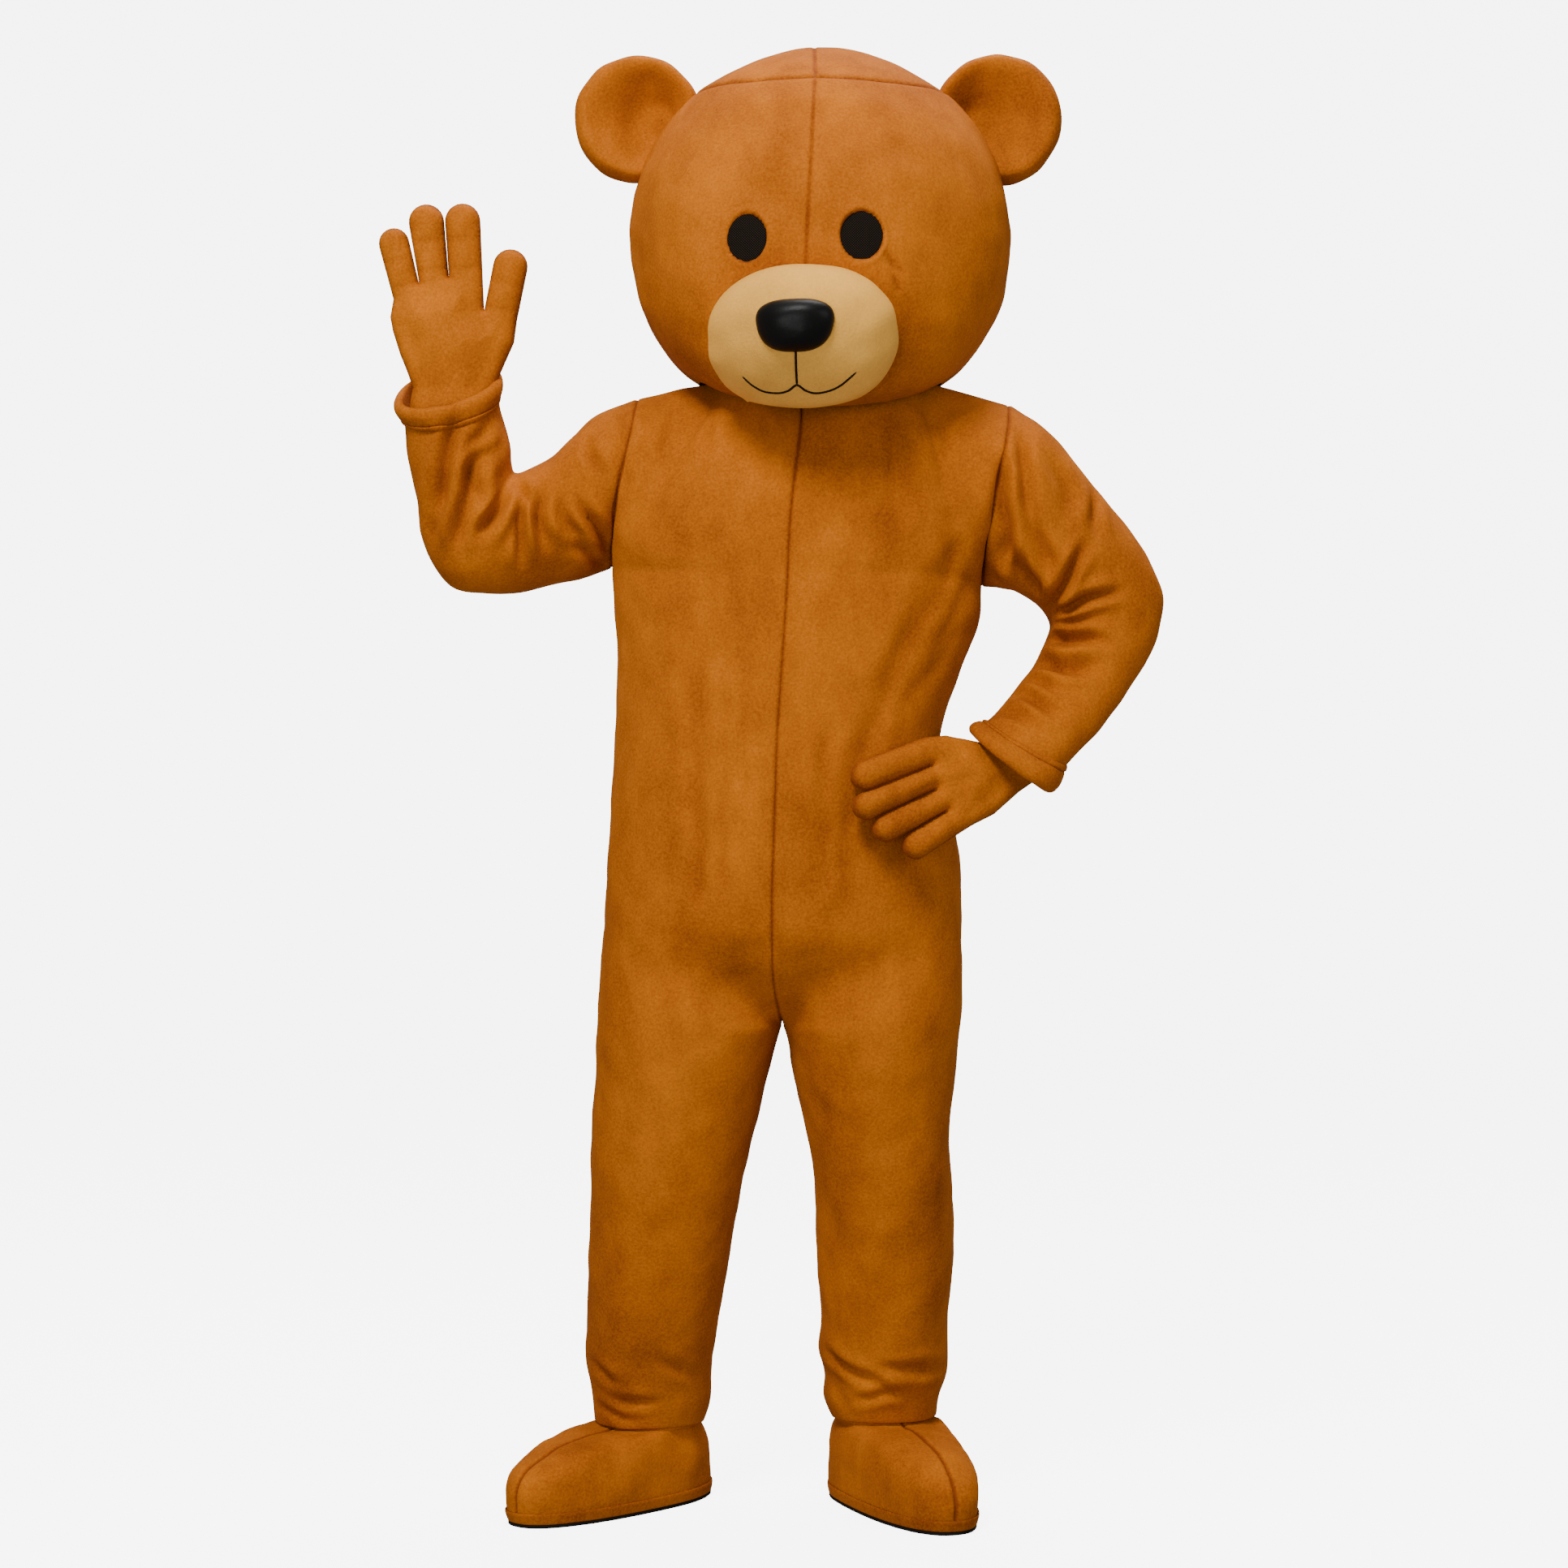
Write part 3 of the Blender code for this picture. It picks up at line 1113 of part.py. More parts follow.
def build_shoe(side, spec, sheets, normals, plush, rubber):
    """A foot cover: two uppers, an edge band and a sole."""
    places, turn = shoe_turns(side, spec)
    columns = BODY_COLUMNS + 1
    front = sheets["body_front_" + side][0].reshape(-1, columns, 3)
    back = sheets["body_back_" + side][0].reshape(-1, columns, 3)
    front_out = normals["body_front_" + side].reshape(front.shape)
    back_out = normals["body_back_" + side].reshape(front.shape)
    rows = [shoe_ring(spec, turn, *values) for values in spec["rows"]]
    top = []
    for row, drop, clear in ((0, 0.0035, 0.0024), (1, 0.0, 0.0009), (2, 0.0, 0.0009)):
        ring = np.concatenate([front[row], back[row][-2:0:-1]])
        out = np.concatenate([front_out[row], back_out[row][-2:0:-1]])
        inner = ring - out * (CLOTH_WALL + clear)
        low = np.floor(places).astype(int)
        part = (places - low)[:, None]
        place_row = inner[low % len(inner)] * (1 - part) + inner[(low + 1) % len(inner)] * part
        top.append(place_row - np.array([0, 0, drop]))
    grid = np.array(rows + top)
    half = len(turn) // 2
    sheets_here = {
        "a": skin(grid[:, :half + 1]),
        "b": skin(np.concatenate([grid[:, half:], grid[:, :1]], axis=1)),
    }
    around = dict(zip(sheets_here, shared_normals(list(sheets_here.values()))))
    probe = sheets_here["a"][0][half // 2] - np.array([*spec["ankle"], 0.02])
    if around["a"][half // 2] @ probe < 0:
        for key in sheets_here:
            sheets_here[key][1] = [tuple(reversed(face)) for face in sheets_here[key][1]]
            around[key] = -around[key]
    for key, place_name in (("a", "inner"), ("b", "outer")):
        panel("shoe_%s_%s" % (side, place_name), sheets_here[key], around[key], SHOE_WALL, plush, pull=0.00035)
    # Edge band: a strip round the foot just above the sole.
    band = np.array([shoe_ring(spec, turn, 0.0048, *spec["rows"][0][1:], extra=0.0007),
                     shoe_ring(spec, turn, 0.0048 + BAND_HEIGHT, *spec["rows"][1][1:], extra=0.0009)])
    outer = np.array([shoe_ring(spec, turn, 0.0048, *spec["rows"][0][1:], extra=0.0032),
                      shoe_ring(spec, turn, 0.0048 + BAND_HEIGHT, *spec["rows"][1][1:], extra=0.0026)])
    count = len(turn)
    vertices = np.concatenate([outer[0], outer[1], band[1], band[0]])
    faces = []
    for row in range(4):
        for i in range(count):
            k = (i + 1) % count
            a = row * count
            b = ((row + 1) % 4) * count
            faces += [(a + i, a + k, b + k), (a + i, b + k, b + i)]
    add("shoe_band_" + side, vertices, faces, plush)
    # Sole: a flat plate with its underside on the floor.
    low = shoe_ring(spec, turn, 0.0, *spec["rows"][0][1:], extra=0.0030)
    high = shoe_ring(spec, turn, SOLE_THICK, *spec["rows"][0][1:], extra=0.0030)
    vertices = np.concatenate([low, high])
    faces = []
    for i in range(1, count - 1):
        faces.append((0, i + 1, i))
        faces.append((count, count + i, count + i + 1))
    for i in range(count):
        k = (i + 1) % count
        faces += [(i, k, count + k), (i, count + k, count + i)]
    add("shoe_sole_" + side, vertices, faces, rubber)


def box_faces():
    """Faces of a box whose corners run round the bottom, then round the top."""
    return [(0, 3, 2), (0, 2, 1), (4, 5, 6), (4, 6, 7), (0, 1, 5), (0, 5, 4), (1, 2, 6), (1, 6, 5),
            (2, 3, 7), (2, 7, 6), (3, 0, 4), (3, 4, 7)]


ZIP_TOP = 1.335
ZIP_LENGTH = 0.56
ZIP_X = 0.002
ZIP_WIDTH = 0.026
ZIP_ROWS = 16
SLIDER_WIDTH = 0.0095
SLIDER_LENGTH = 0.0130
SLIDER_THICK = 0.0030
BRIDGE_WIDTH = 0.0022
BRIDGE_SPAN = 0.0074
BRIDGE_BAR = 0.0012
TAB_THICK = 0.0012
TAB_WIDTH = 0.0086
TAB_LENGTH = 0.0320
TAB_PLAY = 0.0006          # between the pull tab and the slider's face


def surface_at(back, height):
    """The point of the back's outer face at a height on the centre seam."""
    return np.array(back.ray_cast(Vector((ZIP_X, 1, height)), Vector((0, -1, 0)))[0])


def slab(centre, axes, sizes):
    """The corners of a box by its centre, axes and sizes."""
    spots = []
    for c in (-0.5, 0.5):
        for a, b in ((-0.5, -0.5), (0.5, -0.5), (0.5, 0.5), (-0.5, 0.5)):
            spots.append(centre + axes[0] * sizes[0] * a + axes[1] * sizes[1] * b + axes[2] * sizes[2] * c)
    return np.array(spots)


def build_zip(sheets, tape, metal):
    """The centre back closure: a strip over the seam, a slider near its top and a hanging pull tab."""
    points = []
    faces = []
    for side in ("left", "right"):
        sheet = sheets["body_back_" + side]
        offset = len(points)
        points += list(sheet[0])
        faces += [tuple(i + offset for i in face) for face in sheet[1]]
    back = tree(points, faces)
    rows = []
    for t in np.linspace(0, 1, ZIP_ROWS + 1):
        height = ZIP_TOP - ZIP_LENGTH * t
        middle = surface_at(back, height)
        row = []
        for across, rise in ((-1, 0.0010), (-1, 0.0020), (-0.2, 0.0022), (0, 0.0030), (0.2, 0.0022), (1, 0.0020),
                             (1, 0.0010)):
            row.append((ZIP_X + across * ZIP_WIDTH / 2, middle[1] + rise, height))
        rows.append(row)
    ring = np.array(rows)
    sides = ring.shape[1]
    solid = []
    for face in grid_faces(len(ring), sides, True):
        solid += split(face)
    end = sides * (len(ring) - 1)
    for i in range(1, sides - 1):
        solid.append((0, i + 1, i))
        solid.append((end, end + i, end + i + 1))
    add("zip_strip", ring.reshape(-1, 3), solid, tape)
    # Slider on the strip near its top, with a small bridge over the pull tab's crossbar.
    upper = surface_at(back, ZIP_TOP - 0.006)
    lower = surface_at(back, ZIP_TOP - 0.050)
    down = lower - upper
    down /= np.linalg.norm(down)
    out = np.array([0.0, -down[2], down[1]])
    axes = (np.array([1.0, 0.0, 0.0]), out, down)
    seat = surface_at(back, ZIP_TOP - 0.016) + out * 0.0036
    body = slab(seat + out * SLIDER_THICK / 2, axes, (SLIDER_WIDTH, SLIDER_THICK, SLIDER_LENGTH))
    slider = add("zip_slider", body, box_faces(), metal)
    pivot = seat + out * (SLIDER_THICK + TAB_PLAY + TAB_THICK / 2)
    tall = TAB_PLAY * 2 + TAB_THICK
    for end in (-0.5, 0.5):
        post = slab(pivot + down * (BRIDGE_SPAN + BRIDGE_BAR) * end + out * (0.0003 - 0.0002), axes,
                    (BRIDGE_WIDTH, tall + 0.0012, BRIDGE_BAR))
        fuse(slider, post, box_faces())
    beam = slab(pivot + out * (tall / 2 + BRIDGE_BAR / 2), axes,
                (BRIDGE_WIDTH, BRIDGE_BAR, BRIDGE_SPAN + 2 * BRIDGE_BAR))
    fuse(slider, beam, box_faces())
    # Pull tab: a crossbar under the bridge, two arms round its lower post and the tab below them.
    half = TAB_WIDTH / 2
    inner = BRIDGE_WIDTH / 2 + 0.0008
    bar = TAB_THICK / 2
    eye_low = BRIDGE_SPAN / 2 + BRIDGE_BAR + 0.0009
    outer = [(-half + 0.001, -bar), (half - 0.001, -bar), (half, bar), (half, TAB_LENGTH - 0.003),
             (half - 0.002, TAB_LENGTH), (-half + 0.002, TAB_LENGTH), (-half, TAB_LENGTH - 0.003), (-half, bar)]
    eye = [(-inner, bar), (inner, bar), (inner, eye_low), (-inner, eye_low)]
    spots = [Vector(p) for p in outer + eye]
    edges = [(i, (i + 1) % 8) for i in range(8)] + [(8 + i, 8 + (i + 1) % 4) for i in range(4)]
    result = delaunay_2d_cdt(spots, edges, [], 1, 1e-7)
    flat = np.array([tuple(p) for p in result[0]])
    tab_faces = []
    for face in result[2]:
        centre = flat[list(face)].mean(axis=0)
        in_eye = abs(centre[0]) < inner and bar < centre[1] < eye_low
        if not in_eye and inside_outline(centre, np.array(outer)):
            tab_faces.append(tuple(face))
    face_points = pivot + flat[:, :1] * axes[0] + flat[:, 1:] * down + out * TAB_THICK / 2
    if face_normal(face_points, tab_faces[0]) @ out < 0:
        tab_faces = [tuple(reversed(face)) for face in tab_faces]
    vertices, solid_faces = wall(face_points, tab_faces, np.tile(out, (len(face_points), 1)), TAB_THICK)
    add("zip_pull", vertices, solid_faces, metal)
    return place(pivot)


def inside_outline(point, outline):
    """Whether a point is inside a closed outline."""
    inside = False
    for a, b in zip(outline, np.roll(outline, -1, axis=0)):
        if (a[1] > point[1]) != (b[1] > point[1]):
            cross = a[0] + (point[1] - a[1]) / (b[1] - a[1]) * (b[0] - a[0])
            if point[0] < cross:
                inside = not inside
    return inside


def fuse(target, points, faces):
    """Join a closed shape to an object."""
    tool_mesh = bpy.data.meshes.new("added")
    tool_mesh.from_pydata([tuple(p) for p in place(points)], [], [tuple(int(i) for i in f) for f in faces])
    volume = sum_volume(np.array(points), faces)
    if volume < 0:
        tool_mesh.flip_normals()
    tool = bpy.data.objects.new("added", tool_mesh)
    collection.objects.link(tool)
    modifier = target.modifiers.new("join", "BOOLEAN")
    modifier.operation = "UNION"
    modifier.solver = "EXACT"
    modifier.object = tool
    bpy.context.view_layer.update()
    graph = bpy.context.evaluated_depsgraph_get()
    result = bpy.data.meshes.new_from_object(target.evaluated_get(graph))
    target.modifiers.clear()
    target.data = result
    bpy.data.objects.remove(tool)


# Digits from the low or outer side of the palm: root, tip and radius in the glove's own plane, whose second
# axis runs along the hand. The palm's edges run from the wrist, and the webs lie between the digits.
WAVE = {
    "digits": ((-0.0460, 0.111, -0.0690, 0.191, 0.0160), (-0.0150, 0.130, -0.0270, 0.220, 0.0195),
               (0.0260, 0.132, 0.0200, 0.221, 0.0205), (0.0630, 0.084, 0.0810, 0.165, 0.0180)),
    "left": ((-0.0270, 0.0), (-0.0386, 0.023), (-0.0520, 0.050), (-0.0610, 0.080)),
    "right": ((0.0740, 0.054), (0.0580, 0.025), (0.0300, 0.0)),
    "webs": ((-0.0317, 0.126), (0.0045, 0.133), (0.0470, 0.094)),
    "origin": (-0.410, -0.066, 1.376),
    "along": (0.0, -0.10, 1.0),
    "across": (1.0, 0.0, 0.0),
    "depth": 0.026,
}
HIP = {
    "digits": ((-0.0380, 0.092, -0.0560, 0.164, 0.0135), (-0.0095, 0.098, -0.0240, 0.190, 0.0135),
               (0.0190, 0.098, 0.0140, 0.203, 0.0135), (0.0480, 0.082, 0.0560, 0.187, 0.0135)),
    "left": ((-0.0370, -0.014), (-0.0500, 0.030), (-0.0520, 0.064)),
    "right": ((0.0600, 0.050), (0.0370, 0.012)),
    "webs": ((-0.0240, 0.092), (0.0050, 0.094), (0.0335, 0.086)),
    "origin": (0.259, -0.085, 0.915),
    "along": (-0.833, -0.438, -0.341),
    "across": (-0.379, 0.0, 0.926),
    "depth": 0.023,
}

for item in list(bpy.data.objects):
    bpy.data.objects.remove(item)
collection = bpy.data.collections.new("bear_mascot_costume")
bpy.context.scene.collection.children.link(collection)

PLUSH = material("brown_plush", (0.42, 0.125, 0.010), 0.95)
CREAM = material("cream_plush", (0.85, 0.56, 0.22), 0.95)
LEATHER = material("black_leathercloth", (0.012, 0.010, 0.009), 0.45)
MESH_CLOTH = material("black_mesh", (0.010, 0.008, 0.007), 0.80)
THREAD = material("black_cord", (0.015, 0.012, 0.010), 0.80)
RUBBER = material("black_sole", (0.016, 0.015, 0.014), 0.70)
TAPE = material("zip_tape", (0.30, 0.09, 0.010), 0.80)
METAL = material("zip_metal", (0.45, 0.36, 0.20), 0.35, 1.0)

suit_sheets, suit_normals = build_suit(PLUSH)
build_head(PLUSH, CREAM, LEATHER, MESH_CLOTH, THREAD, (suit_sheets, suit_normals))
build_shoe("left", SHOE_LEFT, suit_sheets, suit_normals, PLUSH, RUBBER)
build_shoe("right", SHOE_RIGHT, suit_sheets, suit_normals, PLUSH, RUBBER)
build_glove("left", WAVE, sleeve_reach(suit_sheets, suit_normals, "left"), PLUSH)
build_glove("right", HIP, sleeve_reach(suit_sheets, suit_normals, "right"), PLUSH)
PULL_PIVOT = build_zip(suit_sheets, TAPE, METAL)
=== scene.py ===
"""Looks of the bear mascot costume: plush panels, seams, creases, face, zip and a plain studio.

Run as a script it builds every piece in order. Registered as an add-on it offers the same steps in the
sidebar of the 3D view. Heights in the tables are above the floor and widths are from the middle of the
stance, in metres; place() moves points to the costume's own origin.
"""
import math
import bmesh
import bpy
import numpy as np
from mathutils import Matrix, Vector
from mathutils.bvhtree import BVHTree
from mathutils.geometry import delaunay_2d_cdt


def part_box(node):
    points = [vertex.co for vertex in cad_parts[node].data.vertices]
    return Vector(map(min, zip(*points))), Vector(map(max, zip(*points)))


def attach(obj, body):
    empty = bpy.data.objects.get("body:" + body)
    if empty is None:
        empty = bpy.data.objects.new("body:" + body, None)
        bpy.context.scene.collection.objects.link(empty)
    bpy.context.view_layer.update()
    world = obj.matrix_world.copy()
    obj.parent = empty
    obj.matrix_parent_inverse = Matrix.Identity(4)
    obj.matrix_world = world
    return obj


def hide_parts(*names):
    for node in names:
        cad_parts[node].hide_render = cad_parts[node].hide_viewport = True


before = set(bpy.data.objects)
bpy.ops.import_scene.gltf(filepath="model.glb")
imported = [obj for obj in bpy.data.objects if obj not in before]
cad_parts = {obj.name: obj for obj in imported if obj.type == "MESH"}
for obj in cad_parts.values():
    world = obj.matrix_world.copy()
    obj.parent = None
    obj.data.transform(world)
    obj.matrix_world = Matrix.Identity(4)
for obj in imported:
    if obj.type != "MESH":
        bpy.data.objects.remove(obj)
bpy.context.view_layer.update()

bl_info = {
    "name": "Bear costume looks",
    "version": (1, 0, 0),
    "blender": (4, 5, 0),
    "location": "3D View > Sidebar > Bear costume",
    "description": "Builds the plush panels, trims and studio of a bear mascot costume",
    "category": "Object",
}

HELD_HEIGHT = 1.365
HELD_X = 0.045
CROTCH_HEIGHT = 0.599
CROTCH_RISE = 0.13
ARMPIT_LEFT = 1.161
ARMPIT_RIGHT = 1.138
ARMPIT_MEAN = 1.150
SHOULDER_SHARE = 0.375     # part of a panel's width that ends on the shoulder seam
HEM_LIFT_RIGHT = 0.007

PANEL_COLUMNS = 72
LEG_ROWS = 120
TRUNK_ROWS = 120
YOKE_ROWS = 48
SLEEVE_ROWS = 130

# Each leg by height: outer and inner edge of the left leg as seen, inner and outer edge of the right leg,
# the middle of the leg front to back, and how far it reaches to the front and back of that.
LEG_COLUMNS = ("height", "left_out", "left_in", "right_in", "right_out", "mid_y", "front", "back")
LEG_TABLE = (
    (0.098, -0.237, -0.102, 0.062, 0.189, 0.075, 0.070, 0.066),
    (0.129, -0.240, -0.093, 0.050, 0.194, 0.070, 0.076, 0.070),
    (0.160, -0.245, -0.091, 0.051, 0.202, 0.064, 0.082, 0.076),
    (0.192, -0.248, -0.086, 0.043, 0.205, 0.058, 0.086, 0.082),
    (0.223, -0.247, -0.081, 0.045, 0.205, 0.052, 0.089, 0.088),
    (0.285, -0.243, -0.072, 0.042, 0.209, 0.040, 0.093, 0.093),
    (0.347, -0.240, -0.062, 0.040, 0.209, 0.028, 0.098, 0.096),
    (0.409, -0.239, -0.049, 0.036, 0.208, 0.018, 0.104, 0.100),
    (0.470, -0.237, -0.035, 0.026, 0.204, 0.010, 0.110, 0.107),
    (0.531, -0.233, -0.021, 0.013, 0.210, 0.004, 0.117, 0.118),
    (0.591, -0.231, -0.005, 0.001, 0.216, 0.000, 0.123, 0.128),
    (0.600, -0.230, -0.002, -0.002, 0.217, 0.000, 0.124, 0.129),
    (0.740, -0.221, -0.012, -0.012, 0.219, 0.000, 0.130, 0.135),
)
# The trunk by height: both side edges as seen, the centre seam, and the reach to the front and back.
TORSO_COLUMNS = ("height", "left", "right", "seam", "front", "back")
TORSO_TABLE = (
    (0.600, -0.230, 0.217, -0.002, 0.128, 0.140),
    (0.651, -0.228, 0.220, -0.012, 0.136, 0.148),
    (0.711, -0.223, 0.220, -0.014, 0.143, 0.152),
    (0.771, -0.219, 0.218, -0.014, 0.148, 0.150),
    (0.831, -0.215, 0.212, -0.012, 0.150, 0.144),
    (0.891, -0.212, 0.198, -0.010, 0.150, 0.138),
    (0.951, -0.207, 0.192, -0.008, 0.149, 0.133),
    (1.011, -0.206, 0.207, -0.004, 0.147, 0.132),
    (1.071, -0.207, 0.230, 0.000, 0.144, 0.134),
    (1.101, -0.209, 0.241, 0.002, 0.143, 0.136),
    (1.150, -0.211, 0.243, 0.005, 0.141, 0.138),
)
SHOULDER_LEFT = (-0.181, 0.0, 1.371)
SHOULDER_RIGHT = (0.277, 0.0, 1.363)
NECK_LEFT = (-0.070, 0.0, 1.396)
NECK_RIGHT = (0.160, 0.0, 1.396)
NECK_FRONT = (0.022, -0.086, 1.352)
NECK_BACK = (0.045, 0.088, 1.384)
# Sleeves by station from the armhole to the cuff: upper (or inner) edge and lower (or outer) edge as seen,
# their middle front to back, the reach to front and back, and how far the front of the ring hangs.
SLEEVE_LEFT_TABLE = (
    (-0.228, 1.350, -0.250, 1.149, 0.000, 0.084, 0.000),
    (-0.258, 1.322, -0.292, 1.139, -0.005, 0.078, 0.000),
    (-0.280, 1.299, -0.325, 1.131, -0.012, 0.073, 0.000),
    (-0.308, 1.284, -0.364, 1.130, -0.020, 0.068, 0.004),
    (-0.328, 1.276, -0.407, 1.140, -0.028, 0.065, 0.010),
    (-0.333, 1.284, -0.438, 1.187, -0.036, 0.062, 0.018),
    (-0.334, 1.305, -0.449, 1.247, -0.042, 0.059, 0.024),
    (-0.340, 1.329, -0.457, 1.296, -0.050, 0.056, 0.028),
    (-0.346, 1.355, -0.461, 1.335, -0.056, 0.055, 0.030),
    (-0.351, 1.390, -0.466, 1.366, -0.060, 0.055, 0.031),
)
SLEEVE_RIGHT_TABLE = (
    (0.309, 1.341, 0.266, 1.137, 0.000, 0.086, 0.000),
    (0.339, 1.315, 0.286, 1.133, 0.000, 0.082, 0.000),
    (0.375, 1.270, 0.310, 1.117, 0.004, 0.078, 0.000),
    (0.413, 1.225, 0.324, 1.100, 0.008, 0.075, 0.000),
    (0.447, 1.178, 0.327, 1.088, 0.012, 0.072, 0.000),
    (0.467, 1.128, 0.322, 1.074, 0.014, 0.069, 0.000),
    (0.463, 1.088, 0.314, 1.056, 0.010, 0.066, 0.000),
    (0.447, 1.048, 0.305, 1.038, 0.000, 0.063, 0.002),
    (0.423, 1.009, 0.291, 1.020, -0.014, 0.060, 0.004),
    (0.394, 0.973, 0.276, 1.001, -0.032, 0.057, 0.006),
    (0.364, 0.942, 0.262, 0.984, -0.050, 0.054, 0.008),
    (0.340, 0.917, 0.246, 0.969, -0.066, 0.052, 0.008),
    (0.318, 0.889, 0.229, 0.954, -0.080, 0.050, 0.008),
)
CUFF_WIDTH = {"left": 0.027, "right": 0.034}

# Creases as soft troughs with a swell on both sides: from and to (x, height), half width, depth.
FRONT_FOLDS = (
    (-0.1345, 1.345, -0.1393, 1.278, 0.007, 0.004),
    (-0.0871, 1.345, -0.0909, 1.268, 0.007, 0.005),
    (-0.0232, 1.345, -0.0213, 1.264, 0.008, 0.003),
    (0.119, 1.345, 0.1248, 1.259, 0.007, 0.004),
    (0.182, 1.348, 0.1925, 1.278, 0.008, 0.003),
    (-0.0987, 1.027, -0.1045, 0.765, 0.011, 0.005),
    (-0.0706, 1.007, -0.0735, 0.765, 0.010, 0.004),
    (-0.0513, 1.017, -0.0493, 0.814, 0.010, 0.003),
    (0.0532, 0.959, 0.0503, 0.765, 0.011, 0.004),
    (0.0793, 0.901, 0.0755, 0.746, 0.011, 0.004),
    (0.214, 1.187, 0.119, 0.990, 0.014, 0.007),
    (0.119, 0.990, 0.083, 0.910, 0.012, 0.005),
    (0.231, 1.152, 0.178, 1.056, 0.011, 0.006),
    (0.217, 1.094, 0.139, 0.978, 0.011, 0.005),
    (-0.390, 1.340, -0.418, 1.224, 0.0085, 0.010),
    (-0.418, 1.224, -0.428, 1.180, 0.0085, 0.006),
    (-0.362, 1.335, -0.385, 1.290, 0.007, 0.006),
    (-0.372, 1.275, -0.364, 1.230, 0.0065, 0.006),
    (-0.364, 1.300, -0.395, 1.182, 0.0080, 0.009),
    (-0.338, 1.243, -0.370, 1.195, 0.0075, 0.010),
    (-0.314, 1.240, -0.322, 1.164, 0.0070, 0.009),
    (-0.328, 1.214, -0.340, 1.174, 0.0060, 0.005),
    (-0.292, 1.255, -0.287, 1.183, 0.0070, 0.009),
    (-0.268, 1.235, -0.248, 1.180, 0.0065, 0.006),
    (-0.247, 1.238, -0.212, 1.183, 0.0070, 0.008),
    (-0.260, 1.180, -0.212, 1.169, 0.0060, 0.006),
    (-0.322, 1.258, -0.300, 1.237, 0.0060, 0.009),
    (-0.240, 1.310, -0.219, 1.272, 0.0070, 0.006),
    (-0.192, 1.354, -0.194, 1.239, 0.0065, 0.004),
    (0.259, 1.285, 0.268, 1.166, 0.0075, 0.009),
    (0.266, 1.180, 0.318, 1.127, 0.0075, 0.010),
    (0.287, 1.317, 0.303, 1.213, 0.0085, 0.007),
    (0.303, 1.213, 0.330, 1.150, 0.0085, 0.007),
    (0.330, 1.290, 0.352, 1.215, 0.0080, 0.005),
    (0.375, 1.253, 0.383, 1.198, 0.0070, 0.006),
    (0.316, 1.106, 0.366, 1.180, 0.0070, 0.010),
    (0.318, 1.104, 0.405, 1.128, 0.0065, 0.009),
    (0.318, 1.094, 0.372, 1.090, 0.0060, 0.005),
    (0.310, 1.076, 0.391, 1.063, 0.0070, 0.009),
    (0.302, 1.047, 0.375, 1.034, 0.0070, 0.010),
    (0.290, 1.026, 0.335, 1.012, 0.0065, 0.007),
    (0.276, 1.012, 0.330, 0.980, 0.0070, 0.008),
    (0.262, 0.990, 0.300, 0.966, 0.0060, 0.006),
    (-0.212, 0.137, -0.159, 0.132, 0.0060, 0.007),
    (-0.238, 0.176, -0.206, 0.156, 0.0060, 0.008),
    (-0.232, 0.120, -0.182, 0.116, 0.0050, 0.005),
    (-0.150, 0.190, -0.110, 0.168, 0.0070, 0.005),
    (0.052, 0.196, 0.110, 0.162, 0.0065, 0.009),
    (0.110, 0.162, 0.142, 0.144, 0.0060, 0.006),
    (0.091, 0.141, 0.145, 0.146, 0.0055, 0.006),
    (0.121, 0.181, 0.200, 0.174, 0.0065, 0.007),
    (0.060, 0.150, 0.085, 0.120, 0.0060, 0.004),
)
BACK_FOLDS = (
    (-0.165, 1.190, -0.060, 1.050, 0.014, 0.006),
    (-0.190, 1.120, -0.110, 1.010, 0.012, 0.005),
    (0.215, 1.170, 0.120, 1.000, 0.014, 0.006),
    (0.225, 1.090, 0.150, 0.960, 0.011, 0.005),
    (-0.060, 0.960, -0.052, 0.800, 0.012, 0.004),
    (0.085, 0.940, 0.078, 0.790, 0.012, 0.004),
    (-0.130, 0.650, -0.050, 0.600, 0.011, 0.007),
    (-0.150, 0.615, -0.060, 0.575, 0.010, 0.005),
    (0.130, 0.650, 0.040, 0.600, 0.011, 0.007),
    (0.150, 0.612, 0.060, 0.570, 0.010, 0.005),
    (-0.380, 1.240, -0.425, 1.200, 0.008, 0.009),
    (-0.350, 1.215, -0.390, 1.165, 0.008, 0.008),
    (-0.300, 1.230, -0.320, 1.160, 0.007, 0.008),
    (-0.250, 1.240, -0.260, 1.170, 0.007, 0.007),
    (-0.400, 1.320, -0.420, 1.250, 0.008, 0.007),
    (0.430, 1.130, 0.350, 1.140, 0.008, 0.009),
    (0.420, 1.095, 0.340, 1.085, 0.008, 0.008),
    (0.330, 1.190, 0.300, 1.140, 0.007, 0.008),
    (0.380, 1.030, 0.310, 1.045, 0.007, 0.007),
    (0.290, 1.260, 0.300, 1.180, 0.008, 0.007),
    (-0.210, 0.150, -0.150, 0.140, 0.0065, 0.008),
    (-0.235, 0.185, -0.180, 0.170, 0.0060, 0.006),
    (0.085, 0.150, 0.160, 0.160, 0.0065, 0.008),
    (0.070, 0.190, 0.130, 0.178, 0.0060, 0.006),
)

